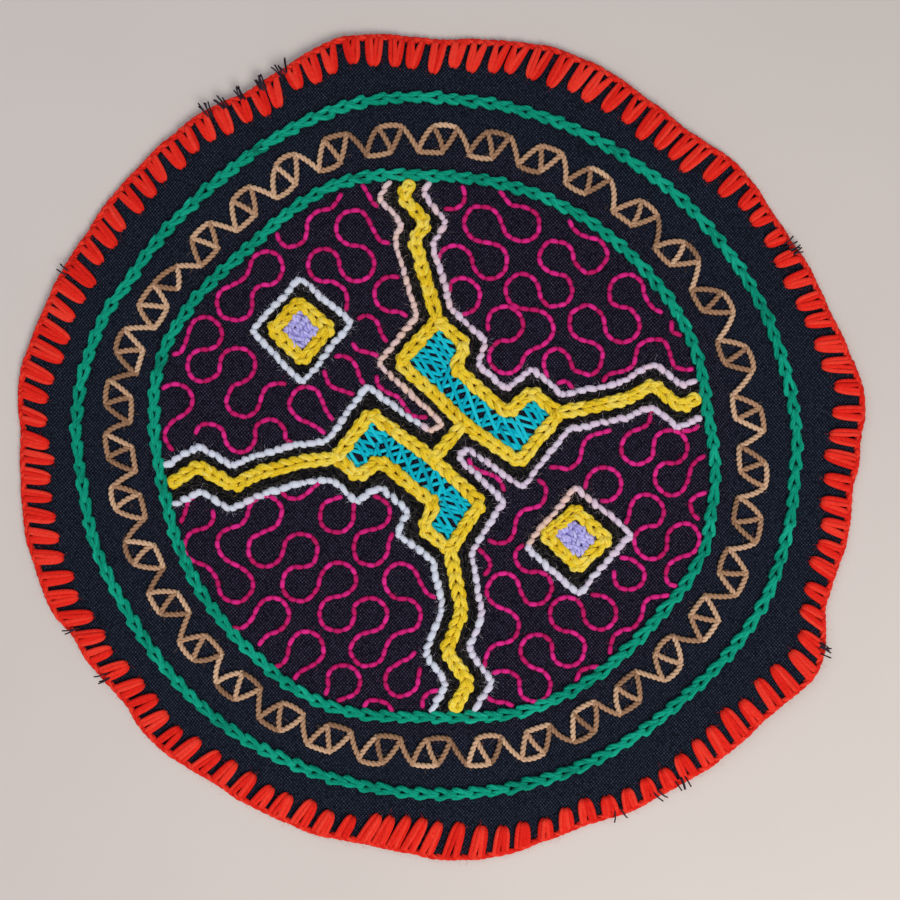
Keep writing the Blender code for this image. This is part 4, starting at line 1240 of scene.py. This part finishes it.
def hatched(outline, angle, spacing, draw):
    """Parallel stretches across an outline, not quite evenly apart."""
    turn = math.radians(angle)
    way = np.array((math.cos(turn), math.sin(turn)))
    outline = np.asarray(outline, float)
    middle = outline.mean(0)
    reach = np.abs((outline - middle) @ across(way)).max()
    pairs = []
    for offset in np.arange(-reach, reach, spacing):
        point = middle + across(way) * (offset + draw.normal(0, HATCH_SCATTER))
        turned = unit(way + across(way) * draw.normal(0, HATCH_TILT))
        pairs += clipped(outline, point, turned)
    return pairs


def within(pairs, way, first, last):
    """The parts of stretches that lie between two distances along a direction."""
    kept = []
    for start, end in pairs:
        low, high = start @ way, end @ way
        shares = sorted(((first - low) / (high - low), (last - low) / (high - low)))
        enter, leave = max(0.0, shares[0]), min(1.0, shares[1])
        if (leave - enter) * np.linalg.norm(end - start) > SHORTEST_THREAD:
            kept.append((start + (end - start) * enter, start + (end - start) * leave))
    return kept


def add_fills(material):
    """The turquoise lattice: threads that cross at a slant, turned another way in a bar's legs."""
    way = np.array((math.cos(BAR_SLANT), math.sin(BAR_SLANT)))
    for name, bar in BARS.items():
        draw = chance(name + "_fill")
        outline = beside(list(bar.values()), -YELLOW_WIDTH / 2 + 0.8, True)
        first, last = LEG_ENDS[name]
        zones = (
            (-math.inf, first, LEG_SLANTS),
            (first, last, MIDDLE_SLANTS),
            (last, math.inf, LEG_SLANTS),
        )
        strands = Strands()
        for start, end, slants in zones:
            for layer, slant in enumerate(slants):
                pairs = hatched(outline, slant.angle, slant.spacing, draw)
                pairs = within(pairs, way, start - ZONE_OVERLAP, end + ZONE_OVERLAP)
                starts, ends = (np.array(spots) for spots in zip(*pairs))
                form = TURQUOISE_THREAD._replace(base=LAYER_RISE * layer)
                add_stitches(strands, starts, ends, form, draw,
                             bow=draw.normal(0, 0.25, len(starts)))
        strands.finish(f"{name}_lattice", material, "turquoise_thread", f"{name}_fill")


def pale_lines():
    """For each pale row its own line, and the line of the black wool beside it."""
    lines = {}
    for name, stretches in PALE_ROUTES.items():
        route = [point for _, points in stretches for point in points]
        gaps = np.array([gap for gap, points in stretches for _ in points])
        wool = (gaps - PALE_WIDTH / 2 + YELLOW_WIDTH / 2) / 2
        pair = []
        for offsets in (gaps, wool):
            line = cut_at_ring(beside(route, offsets, False), PALE_STOP)
            pair.append(cut_at_ring(line[::-1], PALE_STOP)[::-1])
        lines[name] = pair
    return lines


def add_beads(strands, joints, tones, draw):
    """Plump back stitches like grains of rice, each a little aslant to its row."""
    joints = scattered(joints, PALE_SCATTER, draw)
    ways = unit(np.diff(joints, axis=0))
    count = len(ways)
    slant = across(ways) * draw.normal(0.4, 0.18, (count, 1))
    ahead = ways * draw.uniform(-0.2, 0.45, (count, 1))
    starts, ends = joints[:-1] + slant - ahead, joints[1:] - slant + ahead
    half_widths = (PALE_BEAD.half_width - 0.16 * tones) * draw.uniform(0.82, 1.14, count)
    tones = np.clip(tones + draw.normal(0, 0.06, count), 0, 1)
    form = PALE_BEAD._replace(half_width=half_widths[:, None])
    add_stitches(strands, starts, ends, form, draw, tones=tones)
    add_fuzz(strands, (starts + ends) / 2, PALE_FUZZ, draw, tones)


def row_tones(name, joints):
    """The tone of each stitch of a pale row."""
    distances = measured(joints)
    shares = (distances[:-1] + distances[1:]) / 2 / distances[-1]
    return straight(PALE_TONES[name], shares)


def add_pale_rows(material):
    """The pale rows beside the yellow ones and round the diamonds."""
    rows = [(name, f"outline_{name}", line, False) for name, (line, _) in pale_lines().items()]
    for diamond in DIAMONDS:
        name = f"{diamond.name}_diamond"
        rows.append((name, name, diamond.pale_row, True))
    for name, node, line, closed in rows:
        joints = joints_of(softened(line, PALE_CORNER_CUT, closed), PALE_PITCH, closed)
        strands = Strands()
        add_beads(strands, joints, row_tones(name, joints), chance(name))
        strands.finish(f"{name}_beads", material, "pale_yarn", node)


def add_hearts(material):
    """The diamonds' hearts: short plump stitches side by side, with slanting ones over them."""
    for diamond in DIAMONDS:
        draw = chance(diamond.name + "_heart")
        heart = np.array(diamond.heart)
        angle = bearing(heart[0], heart[1])
        strands = Strands()
        for layer in HEART_LAYERS:
            form = HEART_STITCH._replace(base=layer.base)
            outline = beside(heart, 0.5, True)
            for pair in hatched(outline, angle + layer.turn, layer.spacing, draw):
                joints = scattered(joints_of(pair, HEART_PITCH, False), HEART_SCATTER, draw)
                add_stitches(strands, joints[:-1], joints[1:], form, draw)
                add_fuzz(strands, joints, HEART_FUZZ, draw)
        strands.finish(f"{diamond.name}_heart_stitches", material, "lavender_yarn",
                       f"{diamond.name}_heart")


def bearing(middle, point):
    """The direction of a point from a middle, in degrees."""
    return math.degrees(math.atan2(point[1] - middle[1], point[0] - middle[0]))


def round_points(thread, i):
    """A thread's points on one of its rounds, from where it comes on to where it leaves."""
    closed = not thread.start
    x, y, radius = thread.rounds[i]
    middle = (x, y)
    others = [spot[:2] for spot in thread.rounds]
    if closed:
        before, after = others[i - 1], others[(i + 1) % len(others)]
    else:
        before = others[i - 1] if i else thread.start[-1]
        after = others[i + 1] if i + 1 < len(others) else thread.end[0]
    turn = thread.turn * (-1) ** i
    first = bearing(middle, before)
    sweep = (bearing(middle, after) - first) * turn % 360
    leave = min(BRIDGE_ANGLE, sweep / 2)
    count = max(1, round((sweep - 2 * leave) / ROUND_STEP) + 1)
    past = np.linspace(leave, sweep - leave, count) if count > 1 else np.array([sweep / 2])
    return polar(middle, first + past * turn, radius)


def curve_through(points, pitch):
    """Points about that far apart along a smooth curve through the given ones."""
    at = measured(points)
    slopes = np.gradient(points, at, axis=0)
    spots = np.arange(0, at[-1], pitch)
    here = np.clip(np.searchsorted(at, spots, side="right") - 1, 0, len(points) - 2)
    span = (at[here + 1] - at[here])[:, None]
    share = (spots[:, None] - at[here][:, None]) / span
    rise = eased(share)
    leave = share * (1 - share) ** 2 * span
    arrive = share**2 * (share - 1) * span
    curve = points[here] * (1 - rise) + points[here + 1] * rise
    return curve + slopes[here] * leave + slopes[here + 1] * arrive


def meander_line(thread):
    """A thread's whole line: its start, its way round each round and its end."""
    parts = [np.array(thread.start, float).reshape(-1, 2)]
    parts += [round_points(thread, i) for i in range(len(thread.rounds))]
    parts.append(np.array(thread.end, float).reshape(-1, 2))
    points = np.concatenate(parts)
    if not thread.start:
        points = np.concatenate((points, points[:1]))
    return curve_through(points, 0.2)


def add_meander(material):
    """The magenta back stitches, in rows that wind round one another."""
    draw = chance("meander")
    strands = Strands()
    for thread in MEANDER:
        line = meander_line(thread)
        joints = evenly(line, MEANDER_PITCH)
        count = len(joints) - 1
        halfway = evenly(line, measured(line)[-1] / count / 2)[1::2]
        joints[1:-1] = scattered(joints[1:-1], MEANDER_SCATTER, draw)
        starts, ends = joints[:-1], joints[1:]
        bow = np.sum((halfway - (starts + ends) / 2) * across(unit(ends - starts)), -1)
        bow = np.clip(bow, -MEANDER_BOW, MEANDER_BOW)
        add_stitches(strands, starts, ends, MAGENTA_STITCH, draw, bow=bow)
        add_fuzz(strands, joints, MAGENTA_FUZZ, draw)
    strands.finish("meander_stitches", material, None)


def add_wool(material, hair_material):
    """The black wool that fills the ground between the yellow and the pale rows, and its hairs."""
    draw = chance("wool")
    lines = [(line, False) for _, line in pale_lines().values()]
    for diamond in DIAMONDS:
        pale, ring = np.array(diamond.pale_row), np.array(diamond.ring_outside)
        lines.append((pale + (ring - pale) * 0.55, True))
    wool = Strands()
    hairs = Strands()
    for line, closed in lines:
        for offset in (-WOOL_OFFSET, WOOL_OFFSET):
            joints = joints_of(beside(line, offset, closed), WOOL_PITCH, closed)
            joints = scattered(joints, WOOL_SCATTER, draw)
            add_stitches(wool, joints[:-1], joints[1:], WOOL_STITCH, draw)
        add_fuzz(hairs, joints_of(line, HAIRS_PITCH, closed), WOOL_FUZZ, draw)
    wool.finish("black_wool", material, "black_cotton")
    hairs.finish("black_wool_hairs", hair_material, "black_cotton")


def add_fuzz(strands, places, fuzz, draw, tones=0.0):
    """Fine loose fibres that stand out from places on a row of yarn and curl."""
    tones = np.repeat(np.broadcast_to(tones, len(places)), fuzz.fibres)
    places = np.repeat(places, fuzz.fibres, 0)
    count = len(places)
    starts = scattered(places, FUZZ_SCATTER, draw)
    angles = draw.uniform(0, FULL_TURN, count)
    curls = draw.normal(0, 1.1, count)
    steps = np.linspace(0, 1, 4)
    lengths = fuzz.reach * draw.uniform(0.5, 1.9, count)
    headings = angles[:, None] + curls[:, None] * steps
    moves = np.stack((np.cos(headings), np.sin(headings)), -1) * (lengths / 3)[:, None, None]
    flat = starts[:, None] + np.cumsum(moves, 1)
    rise = draw.uniform(0.3, 1.2, count)[:, None]
    high = 0.3 + rise * np.sin(np.pi * steps * 0.8)
    strands.add(raised(flat, high), fuzz.radius, fuzz.radius, draw.uniform(0.0, 0.4, count), tones,
                sides=3, shaded=False)


def add_frays(material):
    """The black threads that fray out past the edging."""
    draw = chance("frays")
    strands = Strands()
    for fray in FRAYS:
        angles = fray.angle + draw.uniform(-fray.spread, fray.spread, fray.threads)
        add_fray(strands, angles, fray.reach * draw.uniform(0.3, 0.9, fray.threads), draw)
    strands.finish("frayed_threads", material, "black_cotton")


def add_fray(strands, angles, reach, draw):
    """Thin curling threads from under the edging to that far outside the rim."""
    steps = np.linspace(0, 1, 7)
    count = len(angles)
    curl = draw.normal(0, 0.6, (count, 1)) * steps**2
    along = draw.normal(0, 0.6, (count, 1)) * steps
    insets = FRAY_INSET - (FRAY_INSET + reach)[:, None] * steps
    flat = rim_points(angles[:, None] + np.degrees((curl + along) / RIM_RADIUS), insets)
    high = 0.25 + 1.1 * np.sin(np.pi * steps) + 0.9 * steps
    strands.add(raised(flat, high), FRAY_HALF_WIDTH, FRAY_HALF_HIGH, draw.uniform(0.2, 0.8, count),
                sides=5)


def main():
    """Makes the whole scene, and returns the cloth itself."""
    add_camera()
    add_studio()
    add_floor()
    yarns = {yarn.name: yarn_material(yarn) for yarn in YARNS}
    cloth = add_cloth(cloth_material())
    add_edging(yarns["scarlet_yarn"])
    add_rings(yarns["green_yarn"])
    add_zigzag(yarns["tan_cord"])
    add_yellow(yarns["yellow_yarn"])
    add_fills(yarns["turquoise_thread"])
    add_pale_rows(pale_material())
    add_hearts(yarns["lavender_yarn"])
    add_meander(yarns["magenta_thread"])
    add_wool(yarns["black_wool"], yarns["grey_hairs"])
    add_frays(yarns["loose_black_thread"])
    return cloth


cloth_sheet = main()
